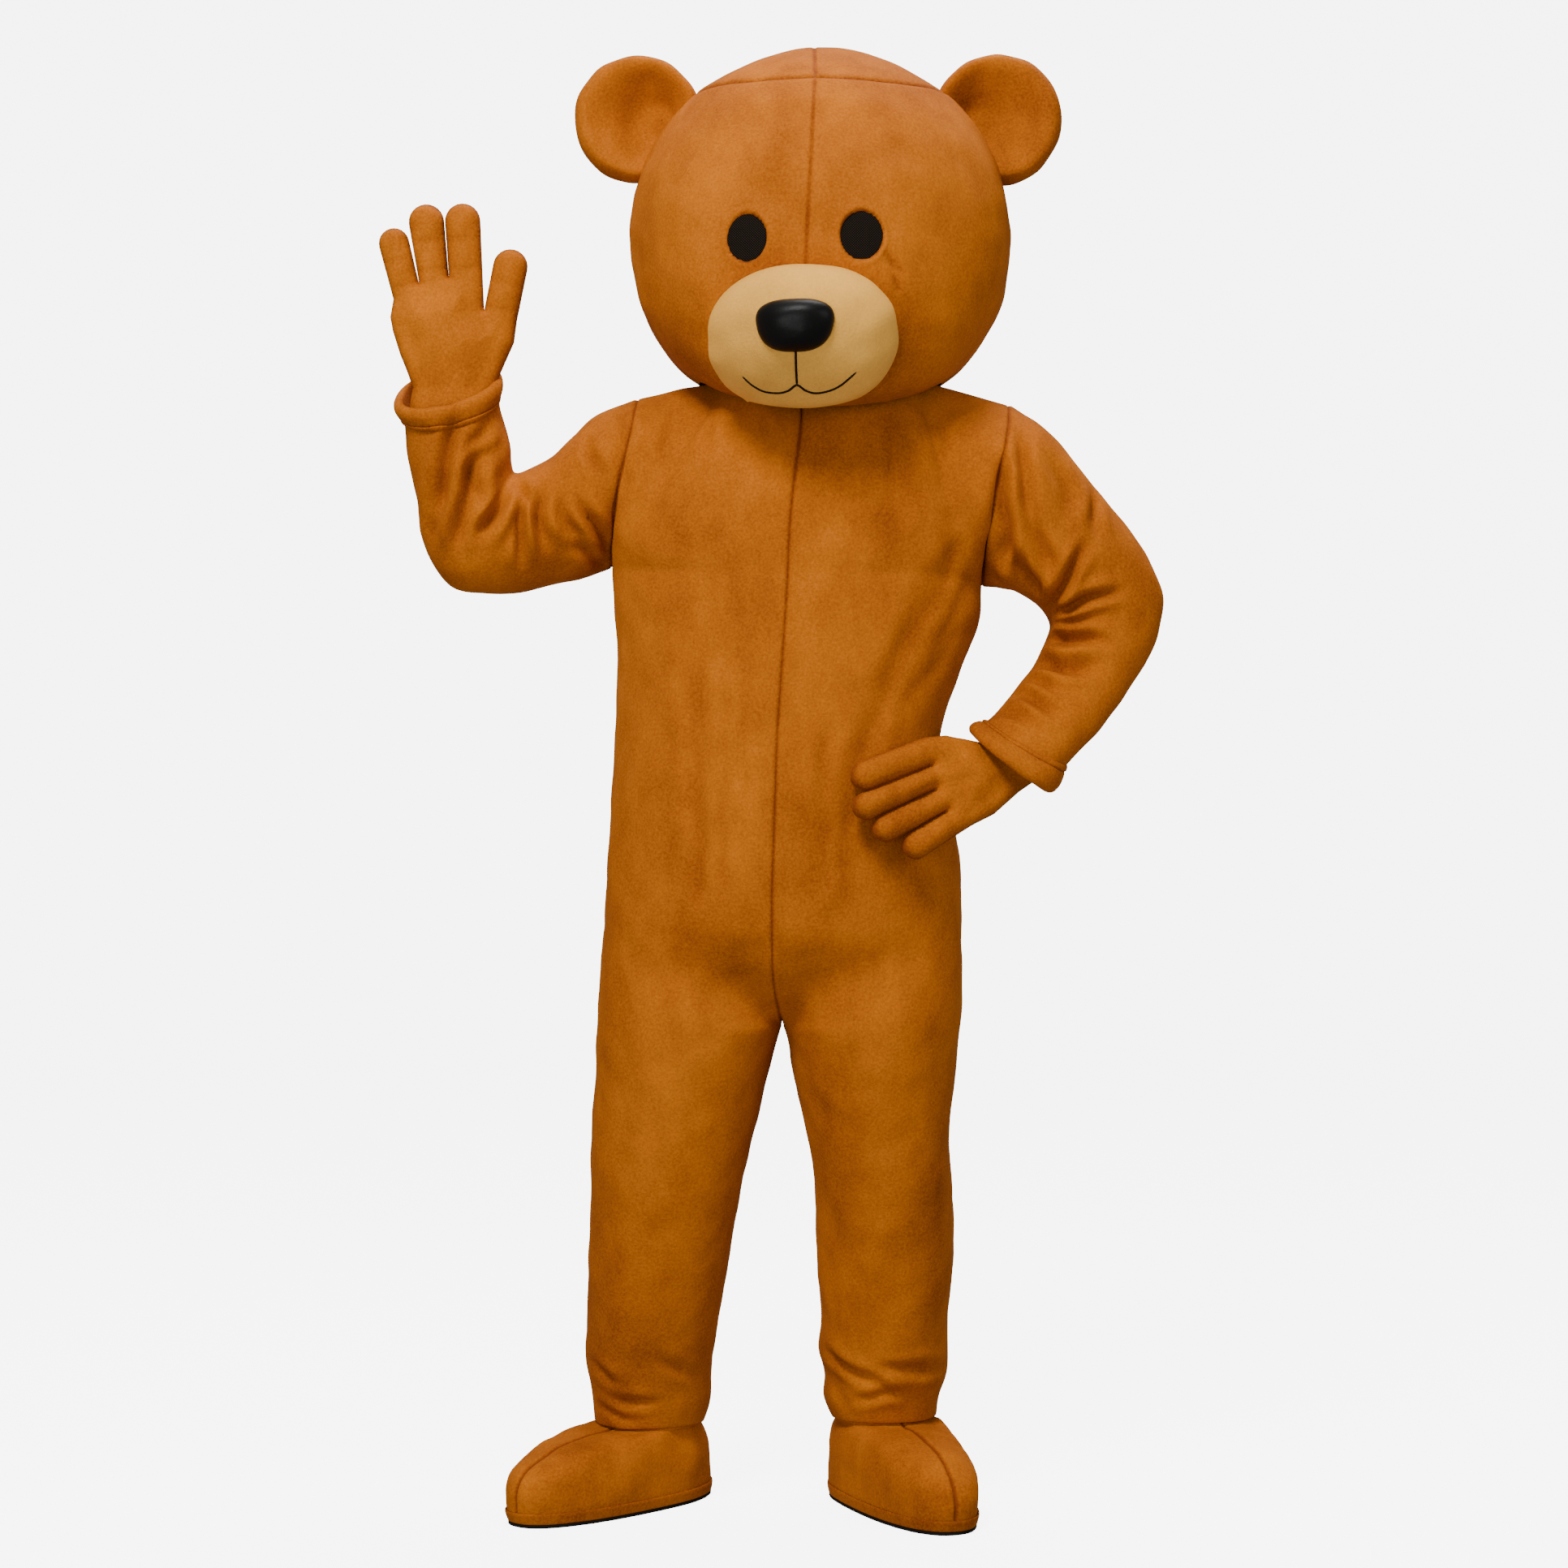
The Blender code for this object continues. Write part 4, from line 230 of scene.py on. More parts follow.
# Head cover by row from the neck rim to the crown: height at the side, front and back, half width,
# and the reach to the front and back.
HEAD_X = 0.045
HEAD_TABLE = (
    (1.388, 1.346, 1.378, 0.150, 0.118, 0.120),
    (1.402, 1.350, 1.388, 0.1695, 0.158, 0.142),
    (1.421, 1.371, 1.405, 0.188, 0.181, 0.158),
    (1.446, 1.404, 1.430, 0.204, 0.199, 0.171),
    (1.481, 1.450, 1.468, 0.221, 0.212, 0.182),
    (1.525, 1.508, 1.518, 0.231, 0.217, 0.190),
    (1.571, 1.566, 1.570, 0.2345, 0.215, 0.194),
    (1.617, 1.617, 1.617, 0.229, 0.207, 0.191),
    (1.662, 1.662, 1.662, 0.215, 0.191, 0.180),
    (1.702, 1.702, 1.702, 0.192, 0.168, 0.161),
    (1.738, 1.738, 1.738, 0.158, 0.139, 0.134),
    (1.763, 1.763, 1.763, 0.121, 0.107, 0.103),
    (1.782, 1.782, 1.782, 0.082, 0.073, 0.070),
    (1.796, 1.796, 1.796, 0.040, 0.036, 0.035),
)
HEAD_TOP = 1.801
CROSS_SEAM_ROW = 10
HEAD_FRONT_COLUMNS = 150   # in a quarter of the way round
HEAD_BACK_COLUMNS = 60
HEAD_ROWS_A_STEP = 15

EYES = (("left", -0.0443, 1.537, 0.0233, 0.0280), ("right", 0.0911, 1.538, 0.0253, 0.0290))
MUZZLE = (0.022, 1.4235, 0.107, 0.0775)
MUZZLE_ROWS = ((1.00, 0.0005, 0.000), (1.045, 0.011, 0.002), (1.035, 0.027, 0.005), (0.93, 0.043, 0.008),
               (0.70, 0.056, 0.009), (0.36, 0.064, 0.009), (0.0, 0.066, 0.008))
CHIN_LEVEL = 1.358
NOSE = (0.0126, 1.425, 0.0445, 0.030)
NOSE_BULGE = 0.019
MOUTH_LINES = (
    ((0.0135, 1.3960), (0.0140, 1.3780), (0.0150, 1.3610)),
    ((-0.0487, 1.3724), (-0.0365, 1.3621), (-0.0234, 1.3555), (-0.0075, 1.3527), (0.0047, 1.3546),
     (0.0150, 1.3602), (0.0253, 1.3546), (0.0374, 1.3518), (0.0534, 1.3546), (0.0674, 1.3611),
     (0.0842, 1.3742)),
)
EARS = (("left", -0.180, 1.711, 0.0775, -0.150, 1.713), ("right", 0.2625, 1.711, 0.0800, 0.229, 1.708))
EAR_Y = -0.012
EAR_ROLL = 0.024
EAR_BACK = 0.034
EAR_FRONT_ROWS = ((1.0, 0.0), (0.985, 0.55), (0.90, 0.98), (0.76, 0.9), (0.52, 0.30), (0.25, -0.35),
                  (0.01, -0.44))
EAR_BACK_ROWS = ((1.0, 0.0), (0.985, 0.35), (0.88, 0.72), (0.62, 0.93), (0.30, 1.0), (0.01, 1.02))

SHOES = (
    ("left", (-0.176, 0.072), 40.0, 2, (
        (0.0045, 0.222, 0.098, 0.066), (0.018, 0.228, 0.100, 0.069), (0.042, 0.229, 0.099, 0.070),
        (0.064, 0.214, 0.095, 0.069), (0.083, 0.170, 0.088, 0.066), (0.0935, 0.112, 0.078, 0.064))),
    ("right", (0.128, 0.074), -19.0, 3, (
        (0.0045, 0.230, 0.092, 0.066), (0.018, 0.236, 0.094, 0.069), (0.042, 0.237, 0.093, 0.070),
        (0.067, 0.220, 0.089, 0.069), (0.088, 0.172, 0.083, 0.066), (0.1000, 0.104, 0.072, 0.061))),
)
# Outline of the edge band and of the sole: height, and how far outside the lowest ring of the upper.
BAND_PROFILE = ((0.0045, 0.0010), (0.0046, 0.0030), (0.0065, 0.0036), (0.0110, 0.0036), (0.0150, 0.0033),
                (0.0178, 0.0022), (0.0182, 0.0008))
SOLE_PROFILE = ((0.0, -0.06), (0.0, 0.0022), (0.0006, 0.0030), (0.0034, 0.0032), (0.0040, 0.0026),
                (0.0040, -0.06))

# Digits from the low or outer side of the palm: root, tip and radius in the glove's own plane, whose second
# axis runs along the hand. The palm's edges run from the wrist, and the webs lie between the digits.
GLOVES = {
    "left": {
        "digits": ((-0.0450, 0.111, -0.0660, 0.191, 0.0185), (-0.0150, 0.130, -0.0240, 0.220, 0.0215),
                   (0.0262, 0.132, 0.0205, 0.221, 0.0215), (0.0660, 0.084, 0.0835, 0.166, 0.0210)),
        "left": ((-0.0405, 0.0), (-0.0475, 0.020), (-0.0555, 0.040), (-0.0640, 0.068), (-0.0670, 0.085)),
        "right": ((0.0830, 0.054), (0.0720, 0.030), (0.0640, 0.012), (0.0600, 0.0)),
        "webs": ((-0.0317, 0.126), (0.0045, 0.133), (0.0470, 0.094)),
        "origin": (-0.410, -0.066, 1.376),
        "along": (0.0, -0.10, 1.0),
        "across": (1.0, 0.0, 0.0),
        "depth": 0.026,
    },
    "right": {
        "digits": ((-0.0385, 0.088, -0.0500, 0.162, 0.0168), (-0.0100, 0.094, -0.0160, 0.190, 0.0168),
                   (0.0200, 0.094, 0.0180, 0.203, 0.0168), (0.0500, 0.080, 0.0530, 0.190, 0.0178)),
        "left": ((-0.0370, -0.014), (-0.0500, 0.030), (-0.0520, 0.064)),
        "right": ((0.0600, 0.050), (0.0370, 0.012)),
        "webs": ((-0.0240, 0.092), (0.0050, 0.094), (0.0335, 0.086)),
        "origin": (0.259, -0.085, 0.915),
        "along": (-0.833, -0.438, -0.341),
        "across": (-0.379, 0.0, 0.926),
        "depth": 0.023,
    },
}
FINGER_ROUND = 12
GLOVE_STEP = 0.0030
FINGER_ROLL = 0.0165       # how far from its side seam a finger reaches its full rise
WRIST_UNDER = 0.0043       # of the glove's wrist under the sleeve's cloth
WRIST_STEPS = 13

ZIP_X = 0.002
TOOTH_PITCH = 0.0028
TOOTH_OFFSET = 0.0011      # of each row of teeth from the zip's middle
TOOTH_SIZE = (0.0034, 0.0012, 0.0016)

SEAM_WIDTH = 0.0020
SLEEVE_CREASE = 1.4        # how much deeper the sleeves' creases are than the table's
HEM_TURN = ((0.0008, -0.0012), (0.0026, -0.0012), (0.0036, 0.0010), (0.0038, 0.012))
# A cuff's profile: share of its width from the upper edge to the lip, and lift from the sleeve.
CUFF_PROFILE = ((0.00, -0.0008), (0.00, 0.0004), (0.06, 0.0018), (0.16, 0.0028), (0.22, 0.0022),
                (0.30, 0.0036), (0.60, 0.0060), (0.85, 0.0060), (0.98, 0.0046), (1.05, 0.0022),
                (1.04, 0.0000), (0.96, -0.0022), (0.70, -0.0030), (0.20, -0.0032))
CUFF_PUFF = 1.55           # how much thicker the cuff's outer side is than the profile
HEAD_SEAM_WIDTH = 0.0022
# Wrinkles beside the right eye: from and to (x, height).
EYE_WRINKLES = ((0.124, 1.512, 0.139, 1.497), (0.118, 1.520, 0.131, 1.500), (0.128, 1.493, 0.136, 1.474))

# Flat sizes of the pieces that are stretched over a form: their span times an allowance for the bulge,
# or width and length.
HEAD_ALLOWANCE = 1.12
FACE_ALLOWANCE = 1.25
HEAD_BACK_ALLOWANCE = 1.45
GLOVE_ALLOWANCE = (1.25, 1.12)
EAR_ALLOWANCE = 2.3        # of an ear's radius
MUZZLE_FLAT = (0.27, 0.235)
UPPER_FLAT = (0.36, 0.155)
BAND_FLAT_HEIGHT = 0.020

FLOOR_REACH = 80.0
WALL_START = 6.5           # how far behind the costume the floor starts to sweep up
WALL_SWEEP = 1.6
WALL_TOP = 12.0
FLOOR_GLOW = 6.0
WORLD_LIGHT = 0.34
CAMERA_AWAY = 4.3
CAMERA_HEIGHT = 0.895
CAMERA_LENS = 80.1
CAMERA_SENSOR = 36.0
# Area lights: name, place, diameter and power.
LIGHTS = (
    ("key_light", (-1.0, -2.9, 2.9), 1.3, 205.0),
    ("fill_light", (2.8, -2.4, 0.6), 2.2, 34.0),
    ("low_light", (-1.6, -3.6, -0.9), 1.6, 60.0),
    ("top_light", (0.4, 0.9, 2.8), 1.8, 110.0),
)

shared = {}                # sheets and trees that a later step rests on


def place(points):
    """Points from the floor's frame to the costume's own frame: p - (HELD_X, 0, HELD_HEIGHT)."""
    return np.asarray(points) - np.array([HELD_X, 0.0, HELD_HEIGHT])


def smooth_step(value):
    """Rise from 0 to 1 with level ends: v^2 (3 - 2 v)."""
    value = np.clip(value, 0, 1)
    return value * value * (3 - 2 * value)


def ended(count, strength):
    """Shares from 0 to 1 that lie closer at both ends: t - k sin(2 pi t) / (2 pi)."""
    t = np.linspace(0, 1, count)
    return t - strength * np.sin(2 * math.pi * t) / (2 * math.pi)


def table_value(table, columns, name, height):
    """The named column of a table at a height, along a cubic curve through its rows."""
    data = np.array(table)
    heights = data[:, 0]
    values = data[:, columns.index(name)]
    slopes = np.gradient(values, heights)
    height = np.clip(height, heights[0], heights[-1])
    index = np.clip(np.searchsorted(heights, height) - 1, 0, len(heights) - 2)
    step = heights[index + 1] - heights[index]
    t = (height - heights[index]) / step
    return (values[index] * (2 * t ** 3 - 3 * t ** 2 + 1) + slopes[index] * step * (t ** 3 - 2 * t ** 2 + t)
            + values[index + 1] * (3 * t ** 2 - 2 * t ** 3) + slopes[index + 1] * step * (t ** 3 - t ** 2))


def hermite(start, end, leave, arrive, t):
    """A cubic curve from start to end with the given leaving and arriving directions."""
    return (start * (2 * t ** 3 - 3 * t ** 2 + 1) + leave * (t ** 3 - 2 * t ** 2 + t)
            + end * (3 * t ** 2 - 2 * t ** 3) + arrive * (t ** 3 - t ** 2))


def smooth_rows(rings, positions):
    """Rings read between the given ones along Catmull-Rom curves, at fractional row numbers."""
    rings = np.asarray(rings, float)
    positions = np.asarray(positions, float)
    last = len(rings) - 1
    index = np.minimum(positions.astype(int), last - 1)
    t = (positions - index).reshape((-1,) + (1,) * (rings.ndim - 1))
    before = rings[np.maximum(index - 1, 0)]
    start = rings[index]
    end = rings[index + 1]
    after = rings[np.minimum(index + 2, last)]
    return hermite(start, end, (end - before) / 2, (after - start) / 2, t)


def leg_point(side, face, u, height):
    """Leg surface: x by cos(pi u) between its edges, y by sin(pi u)^0.92 times its reach."""
    out = table_value(LEG_TABLE, LEG_COLUMNS, side + "_out", height)
    inner = table_value(LEG_TABLE, LEG_COLUMNS, side + "_in", height)
    inner = np.where(height > CROTCH_HEIGHT, table_value(TORSO_TABLE, TORSO_COLUMNS, "seam", height), inner)
    mid_y = table_value(LEG_TABLE, LEG_COLUMNS, "mid_y", height)
    reach = table_value(LEG_TABLE, LEG_COLUMNS, face, height)
    angle = math.pi * u
    x = (out + inner) / 2 + (out - inner) / 2 * np.cos(angle)
    y = mid_y + (-1 if face == "front" else 1) * reach * np.abs(np.sin(angle)) ** 0.92
    return np.stack([x, y, height + 0 * x], axis=-1)


def torso_point(side, face, u, height):
    """Trunk surface: x by cos(pi u / 2)^0.86 from the centre seam, y by sin(pi u / 2)^0.86."""
    edge = table_value(TORSO_TABLE, TORSO_COLUMNS, side, height)
    seam = table_value(TORSO_TABLE, TORSO_COLUMNS, "seam", height)
    if face == "back":
        seam = seam * 0 + 0.002
    reach = table_value(TORSO_TABLE, TORSO_COLUMNS, face, height)
    angle = math.pi / 2 * u
    x = seam + (edge - seam) * np.abs(np.cos(angle)) ** 0.86
    y = (-1 if face == "front" else 1) * reach * np.abs(np.sin(angle)) ** 0.86
    return np.stack([x, y, height + 0 * x], axis=-1)


def yoke_point(side, face, u, t):
    """Surface from the armpit line (t 0) over the chest or back to the shoulder seam or neckline (t 1)."""
    sign = -1.0 if face == "front" else 1.0
    armpit = ARMPIT_LEFT if side == "left" else ARMPIT_RIGHT
    start = torso_point(side, face, u, np.full_like(u, ARMPIT_MEAN))
    start[..., 2] += (armpit - ARMPIT_MEAN) * (1 - u) ** 2
    tip = np.array(SHOULDER_LEFT if side == "left" else SHOULDER_RIGHT)
    neck = np.array(NECK_LEFT if side == "left" else NECK_RIGHT)
    middle = np.array(NECK_FRONT if face == "front" else NECK_BACK)
    along = np.clip(u / SHOULDER_SHARE, 0, 1)[..., None]
    on_seam = tip + (neck - tip) * along
    turn = (np.clip((u - SHOULDER_SHARE) / (1 - SHOULDER_SHARE), 0, 1) * math.pi / 2)[..., None]
    on_neck = middle + (neck - middle) * np.array([1, 0, 1]) * np.cos(turn)
    on_neck[..., 1] = middle[1] * np.sin(turn[..., 0])
    end = np.where(along < 1, on_seam, on_neck)
    outer = (1 - u)[..., None]
    leave = np.array([0, 0, 0.235]) + outer ** 1.6 * np.array([0, sign * 0.34, 0.0])
    arrive = np.array([0, -sign * 0.13, 0.10]) + outer ** 1.6 * np.array([0, -sign * 0.21, 0.02])
    return hermite(start, end, leave, arrive, t[..., None])


def hem_lift(side, height):
    """How much higher the right leg's hem ends, fading out above it."""
    return HEM_LIFT_RIGHT * np.clip((0.185 - height) / 0.085, 0, 1) if side == "right" else 0.0 * height


def body_grid(side, face):
    """One body panel from the ankle hem to the shoulder, side seam to centre."""
    u = ended(PANEL_COLUMNS + 1, 0.72)
    rows = []
    for height in np.linspace(0.100, 0.590, LEG_ROWS):
        level = np.full_like(u, height)
        rows.append(leg_point(side, face, u, level + hem_lift(side, level)))
    armpit = ARMPIT_LEFT if side == "left" else ARMPIT_RIGHT
    for height in 0.592 + (ARMPIT_MEAN - 0.592) * np.linspace(0, 1, TRUNK_ROWS):
        rise = min(max((height - CROTCH_HEIGHT - 0.001) / CROTCH_RISE, 0.0), 1.0)
        under = math.sqrt(rise * (2 - rise))
        weight = (under * u ** 4 + smooth_step(rise) * (1 - u ** 4))[:, None]
        level = np.full_like(u, height)
        row = leg_point(side, face, u, level) * (1 - weight) + torso_point(side, face, u, level) * weight
        row[:, 2] += (armpit - ARMPIT_MEAN) * (1 - u) ** 2 * max(0.0, (height - 0.95) / (ARMPIT_MEAN - 0.95))
        rows.append(row)
    for step in range(1, YOKE_ROWS + 1):
        rows.append(yoke_point(side, face, u, np.full_like(u, step / YOKE_ROWS)))
    return np.array(rows)


def sleeve_grid(side, front, back):
    """A sleeve from its armhole ring through the table's rings: middle + cos(a) reach + sin(a)^0.9 front."""
    table = SLEEVE_LEFT_TABLE if side == "left" else SLEEVE_RIGHT_TABLE
    armhole_front = front[-(YOKE_ROWS + 1):, 0]
    armhole_back = back[-(YOKE_ROWS + 1):, 0]
    rings = [np.concatenate([armhole_front[::-1], armhole_back[1:-1]])]
    angle = 2 * math.pi * np.arange(2 * YOKE_ROWS) / (2 * YOKE_ROWS)
    for top_x, top_h, low_x, low_h, mid_y, depth, drop in table:
        middle = np.array([(top_x + low_x) / 2, mid_y, (top_h + low_h) / 2])
        reach = np.array([(top_x - low_x) / 2, 0, (top_h - low_h) / 2])
        toward = np.array([0, -depth, -drop])
        ring = middle + np.cos(angle)[:, None] * reach
        rings.append(ring + (np.sign(np.sin(angle)) * np.abs(np.sin(angle)) ** 0.9)[:, None] * toward)
    share = np.linspace(0, 1, SLEEVE_ROWS + 1)
    return smooth_rows(rings, (share * 0.75 + share ** 2 * 0.25) * (len(rings) - 1))


def quads(rows, columns, closed=False):
    """Corner numbers of a grid's faces, joined end to end across its columns if closed."""
    grid = np.arange(rows * columns).reshape(rows, columns)
    if closed:
        grid = np.concatenate([grid, grid[:, :1]], axis=1)
    return np.stack([grid[:-1, :-1], grid[:-1, 1:], grid[1:, 1:], grid[1:, :-1]], axis=-1).reshape(-1, 4)


def area_normals(points, faces):
    """Each point's sum of the cross products of its faces' diagonals."""
    corners = points[faces]
    if faces.shape[1] == 4:
        cross = np.cross(corners[:, 2] - corners[:, 0], corners[:, 3] - corners[:, 1])
    else:
        cross = np.cross(corners[:, 1] - corners[:, 0], corners[:, 2] - corners[:, 0])
    total = np.zeros_like(points)
    for k in range(faces.shape[1]):
        np.add.at(total, faces[:, k], cross)
    return total


def sheet_of(grid, outward, closed=False):
    """A grid as [points, faces], its faces turned the way outward(points) points."""
    rows, columns = grid.shape[:2]
    points = grid.reshape(-1, 3).copy()
    faces = quads(rows, columns, closed)
    if (area_normals(points, faces) * outward(points)).sum() < 0:
        faces = faces[:, ::-1]
    return [points, faces]


def turned_front(points):
    """The way of a sheet that faces the front."""
    return np.array([0, -1.0, 0])


def joined_normals(sheets):
    """Unit normals of sheets, shared wherever their points meet."""
    points = np.concatenate([sheet[0] for sheet in sheets])
    total = np.concatenate([area_normals(*sheet) for sheet in sheets])
    inverse = np.unique(np.round(points, 5), axis=0, return_inverse=True)[1].reshape(-1)
    summed = np.zeros((inverse.max() + 1, 3))
    np.add.at(summed, inverse, total)
    result = summed[inverse]
    result /= np.maximum(np.linalg.norm(result, axis=1), 1e-12)[:, None]
    return np.split(result, np.cumsum([len(sheet[0]) for sheet in sheets])[:-1])


def girth(ring):
    """The length of a closed ring."""
    return np.linalg.norm(np.diff(np.concatenate([ring, ring[:1]]), axis=0), axis=1).sum()


def arc(grid, axis):
    """Distance along a grid's rows or columns from its first line."""
    steps = np.linalg.norm(np.diff(grid, axis=axis), axis=-1)
    pad = np.zeros_like(np.take(steps, [0], axis=axis))
    return np.cumsum(np.concatenate([pad, steps], axis=axis), axis=axis)


def groove(distance, width):
    """A seam's valley at a distance from it: exp(-(d / width)^2)."""
    return np.exp(-(distance / width) ** 2)


def ripple(points, wave, seed):
    """Smooth irregular swell: a sum of nine sine waves in scattered directions, about -1 to 1."""
    random = np.random.default_rng(seed)
    total = np.zeros(len(points))
    for _ in range(9):
        direction = random.normal(size=3)
        direction /= np.linalg.norm(direction)
        size = wave * (0.6 + 0.9 * random.random())
        total += np.sin(points @ direction * 2 * math.pi / size + random.random() * 2 * math.pi)
    return total / 3.2


def beside_line(points, line, wander=0.0):
    """Run along and distance across a line seen from the front, and its length."""
    x0, h0, x1, h1 = line
    along = np.array([x1 - x0, h1 - h0])
    length = np.hypot(*along)
    along = along / length
    flat = points[:, [0, 2]] - np.array([x0, h0])
    return flat @ along, flat @ np.array([-along[1], along[0]]) + wander, length


def crease_shift(points, normals):
    """How far the creases move each point inward, and the painted shade each crease puts on it, from 0 to 1.
    """
    shift = np.zeros(len(points))
    shade = np.zeros(len(points))
    wander = ripple(points, 0.09, 5) * 0.004
    for folds, sign in ((FRONT_FOLDS, -1.0), (BACK_FOLDS, 1.0)):
        facing = smooth_step(sign * normals[:, 1] * 1.6)
        for *line, width, depth in folds:
            run, across, length = beside_line(points, line, wander)
            across = np.abs(across)
            ends = smooth_step((run + 0.016) / 0.045) * smooth_step((length + 0.016 - run) / 0.045)
            valley = groove(across, width)
            swell = groove(across - 2.1 * width, 1.1 * width)
            shift += depth * (0.85 * valley - 0.42 * swell) * ends * facing
            # Painted shade along the middle of each crease, stronger for deeper creases.
            dark = groove(across * 1.5, width) * ends * facing * min(1.0, depth / 0.008)
            shade = np.maximum(shade, dark)
    return shift, shade


def add_piece(name, node, points, faces, look, slot_name, shade=None, flat=None, held="draped",
              merge=False):
    """A finished piece at the origin: it rides on the costume and stands for its solid."""
    mesh = bpy.data.meshes.new(name)
    mesh.from_pydata(place(points).tolist(), [], np.asarray(faces).tolist())
    # The painted_shade attribute: painted shade in seams, creases and hollows, which darkens the plush
    # finishes.
    if shade is not None:
        attribute = mesh.attributes.new("painted_shade", "FLOAT", "POINT")
        attribute.data.foreach_set("value", np.asarray(shade, np.float32))
    mesh.polygons.foreach_set("use_smooth", np.ones(len(mesh.polygons), bool))
    mesh.materials.append(look)
    if merge:
        work = bmesh.new()
        work.from_mesh(mesh)
        bmesh.ops.remove_doubles(work, verts=work.verts, dist=2e-5)
        work.to_mesh(mesh)
        work.free()
    mesh.update()
    result = bpy.data.objects.new(name, mesh)
    bpy.context.scene.collection.objects.link(result)
    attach(result, "costume")
    if node:
        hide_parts(node)
    return result


def tree_of(points, faces):
    """A search tree of a sheet, for laying other pieces on it."""
    return BVHTree.FromPolygons(np.asarray(points).tolist(), np.asarray(faces).tolist())


def front_of(surface, x, height):
    """The y of a surface seen from the front at x and height, or of its nearest point where it ends."""
    hit = surface.ray_cast(Vector((x, -1.0, height)), Vector((0.0, 1.0, 0.0)))[0]
    if hit is None or hit.y > 0:
        hit = surface.find_nearest(Vector((x, -0.2, height)))[0]
    return hit.y


def new_material(name):
    """An empty node material, its shader and its object coordinates."""
    result = bpy.data.materials.new(name)
    result.use_nodes = True
    nodes = result.node_tree.nodes
    return result, nodes, result.node_tree.links, nodes["Principled BSDF"], nodes.new("ShaderNodeTexCoord")


def noise(nodes, links, coordinates, scale, detail, stretch=(1.0, 1.0, 1.0)):
    """A noise texture in object coordinates, stretched along each axis."""
    mapping = nodes.new("ShaderNodeMapping")
    mapping.inputs["Scale"].default_value = stretch
    links.new(coordinates.outputs["Object"], mapping.inputs["Vector"])
    result = nodes.new("ShaderNodeTexNoise")
    result.inputs["Scale"].default_value = scale
    result.inputs["Detail"].default_value = detail
    links.new(mapping.outputs["Vector"], result.inputs["Vector"])
    return result.outputs["Fac"]


def weighted(nodes, links, terms, base):
    """base plus the sum of each output times its weight, held between 0 and 1."""
    total = None
    for output, weight in terms:
        step = nodes.new("ShaderNodeMath")
        step.operation = "MULTIPLY_ADD"
        links.new(output, step.inputs[0])
        step.inputs[1].default_value = weight
        if total is None:
            step.inputs[2].default_value = base
        else:
            links.new(total, step.inputs[2])
        total = step.outputs[0]
    step.use_clamp = True
    return total


def plush_material(name, light, dark, pile_height):
    """Short pile cloth: brushed patches and streaks in tone, painted shade in seams, creases and hollows from
    the painted_shade attribute, a fine pile bump and a soft sheen.
    """
    result, nodes, links, shader, coordinates = new_material(name)
    nap = noise(nodes, links, coordinates, 9.0, 3.0, (1.0, 1.0, 0.45))
    patch = noise(nodes, links, coordinates, 32.0, 2.0, (1.0, 1.0, 0.6))
    pile = noise(nodes, links, coordinates, 330.0, 3.0)
    fibre = noise(nodes, links, coordinates, 1100.0, 2.0)
    # Painted shade: the painted_shade attribute pulls the tone towards the dark colour in seams, creases and
    # hollows.
    painted_shade = nodes.new("ShaderNodeAttribute")
    painted_shade.attribute_name = "painted_shade"
    tone = weighted(nodes, links, ((nap, 1.1), (patch, 0.5), (pile, 0.9), (fibre, 0.35),
                                   (painted_shade.outputs["Fac"], -0.8)), -0.92)
    mix = nodes.new("ShaderNodeMix")
    mix.data_type = "RGBA"
    mix.inputs["A"].default_value = (*dark, 1.0)
    mix.inputs["B"].default_value = (*light, 1.0)
    links.new(tone, mix.inputs["Factor"])
    links.new(mix.outputs["Result"], shader.inputs["Base Color"])
    height = weighted(nodes, links, ((pile, 0.7), (fibre, 0.3)), 0.0)
    bump = nodes.new("ShaderNodeBump")
    bump.inputs["Strength"].default_value = 0.55
    bump.inputs["Distance"].default_value = pile_height
    links.new(height, bump.inputs["Height"])
    links.new(bump.outputs["Normal"], shader.inputs["Normal"])
    shader.inputs["Roughness"].default_value = 0.92
    shader.inputs["Specular IOR Level"].default_value = 0.15
    shader.inputs["Sheen Weight"].default_value = 0.22
    shader.inputs["Sheen Roughness"].default_value = 0.45
    shader.inputs["Sheen Tint"].default_value = (*light, 1.0)
    return result


def plain_material(name, colour, roughness, metallic=0.0, grain=900.0, depth=0.0002, gloss=0.5):
    """A plain finish with a fine grain."""
    result, nodes, links, shader, coordinates = new_material(name)
    shader.inputs["Base Color"].default_value = (*colour, 1.0)
    shader.inputs["Roughness"].default_value = roughness
    shader.inputs["Metallic"].default_value = metallic
    shader.inputs["Specular IOR Level"].default_value = gloss
    height = noise(nodes, links, coordinates, grain, 2.0)
    bump = nodes.new("ShaderNodeBump")
    bump.inputs["Strength"].default_value = 0.35
    bump.inputs["Distance"].default_value = depth
    links.new(height, bump.inputs["Height"])
    links.new(bump.outputs["Normal"], shader.inputs["Normal"])
    return result


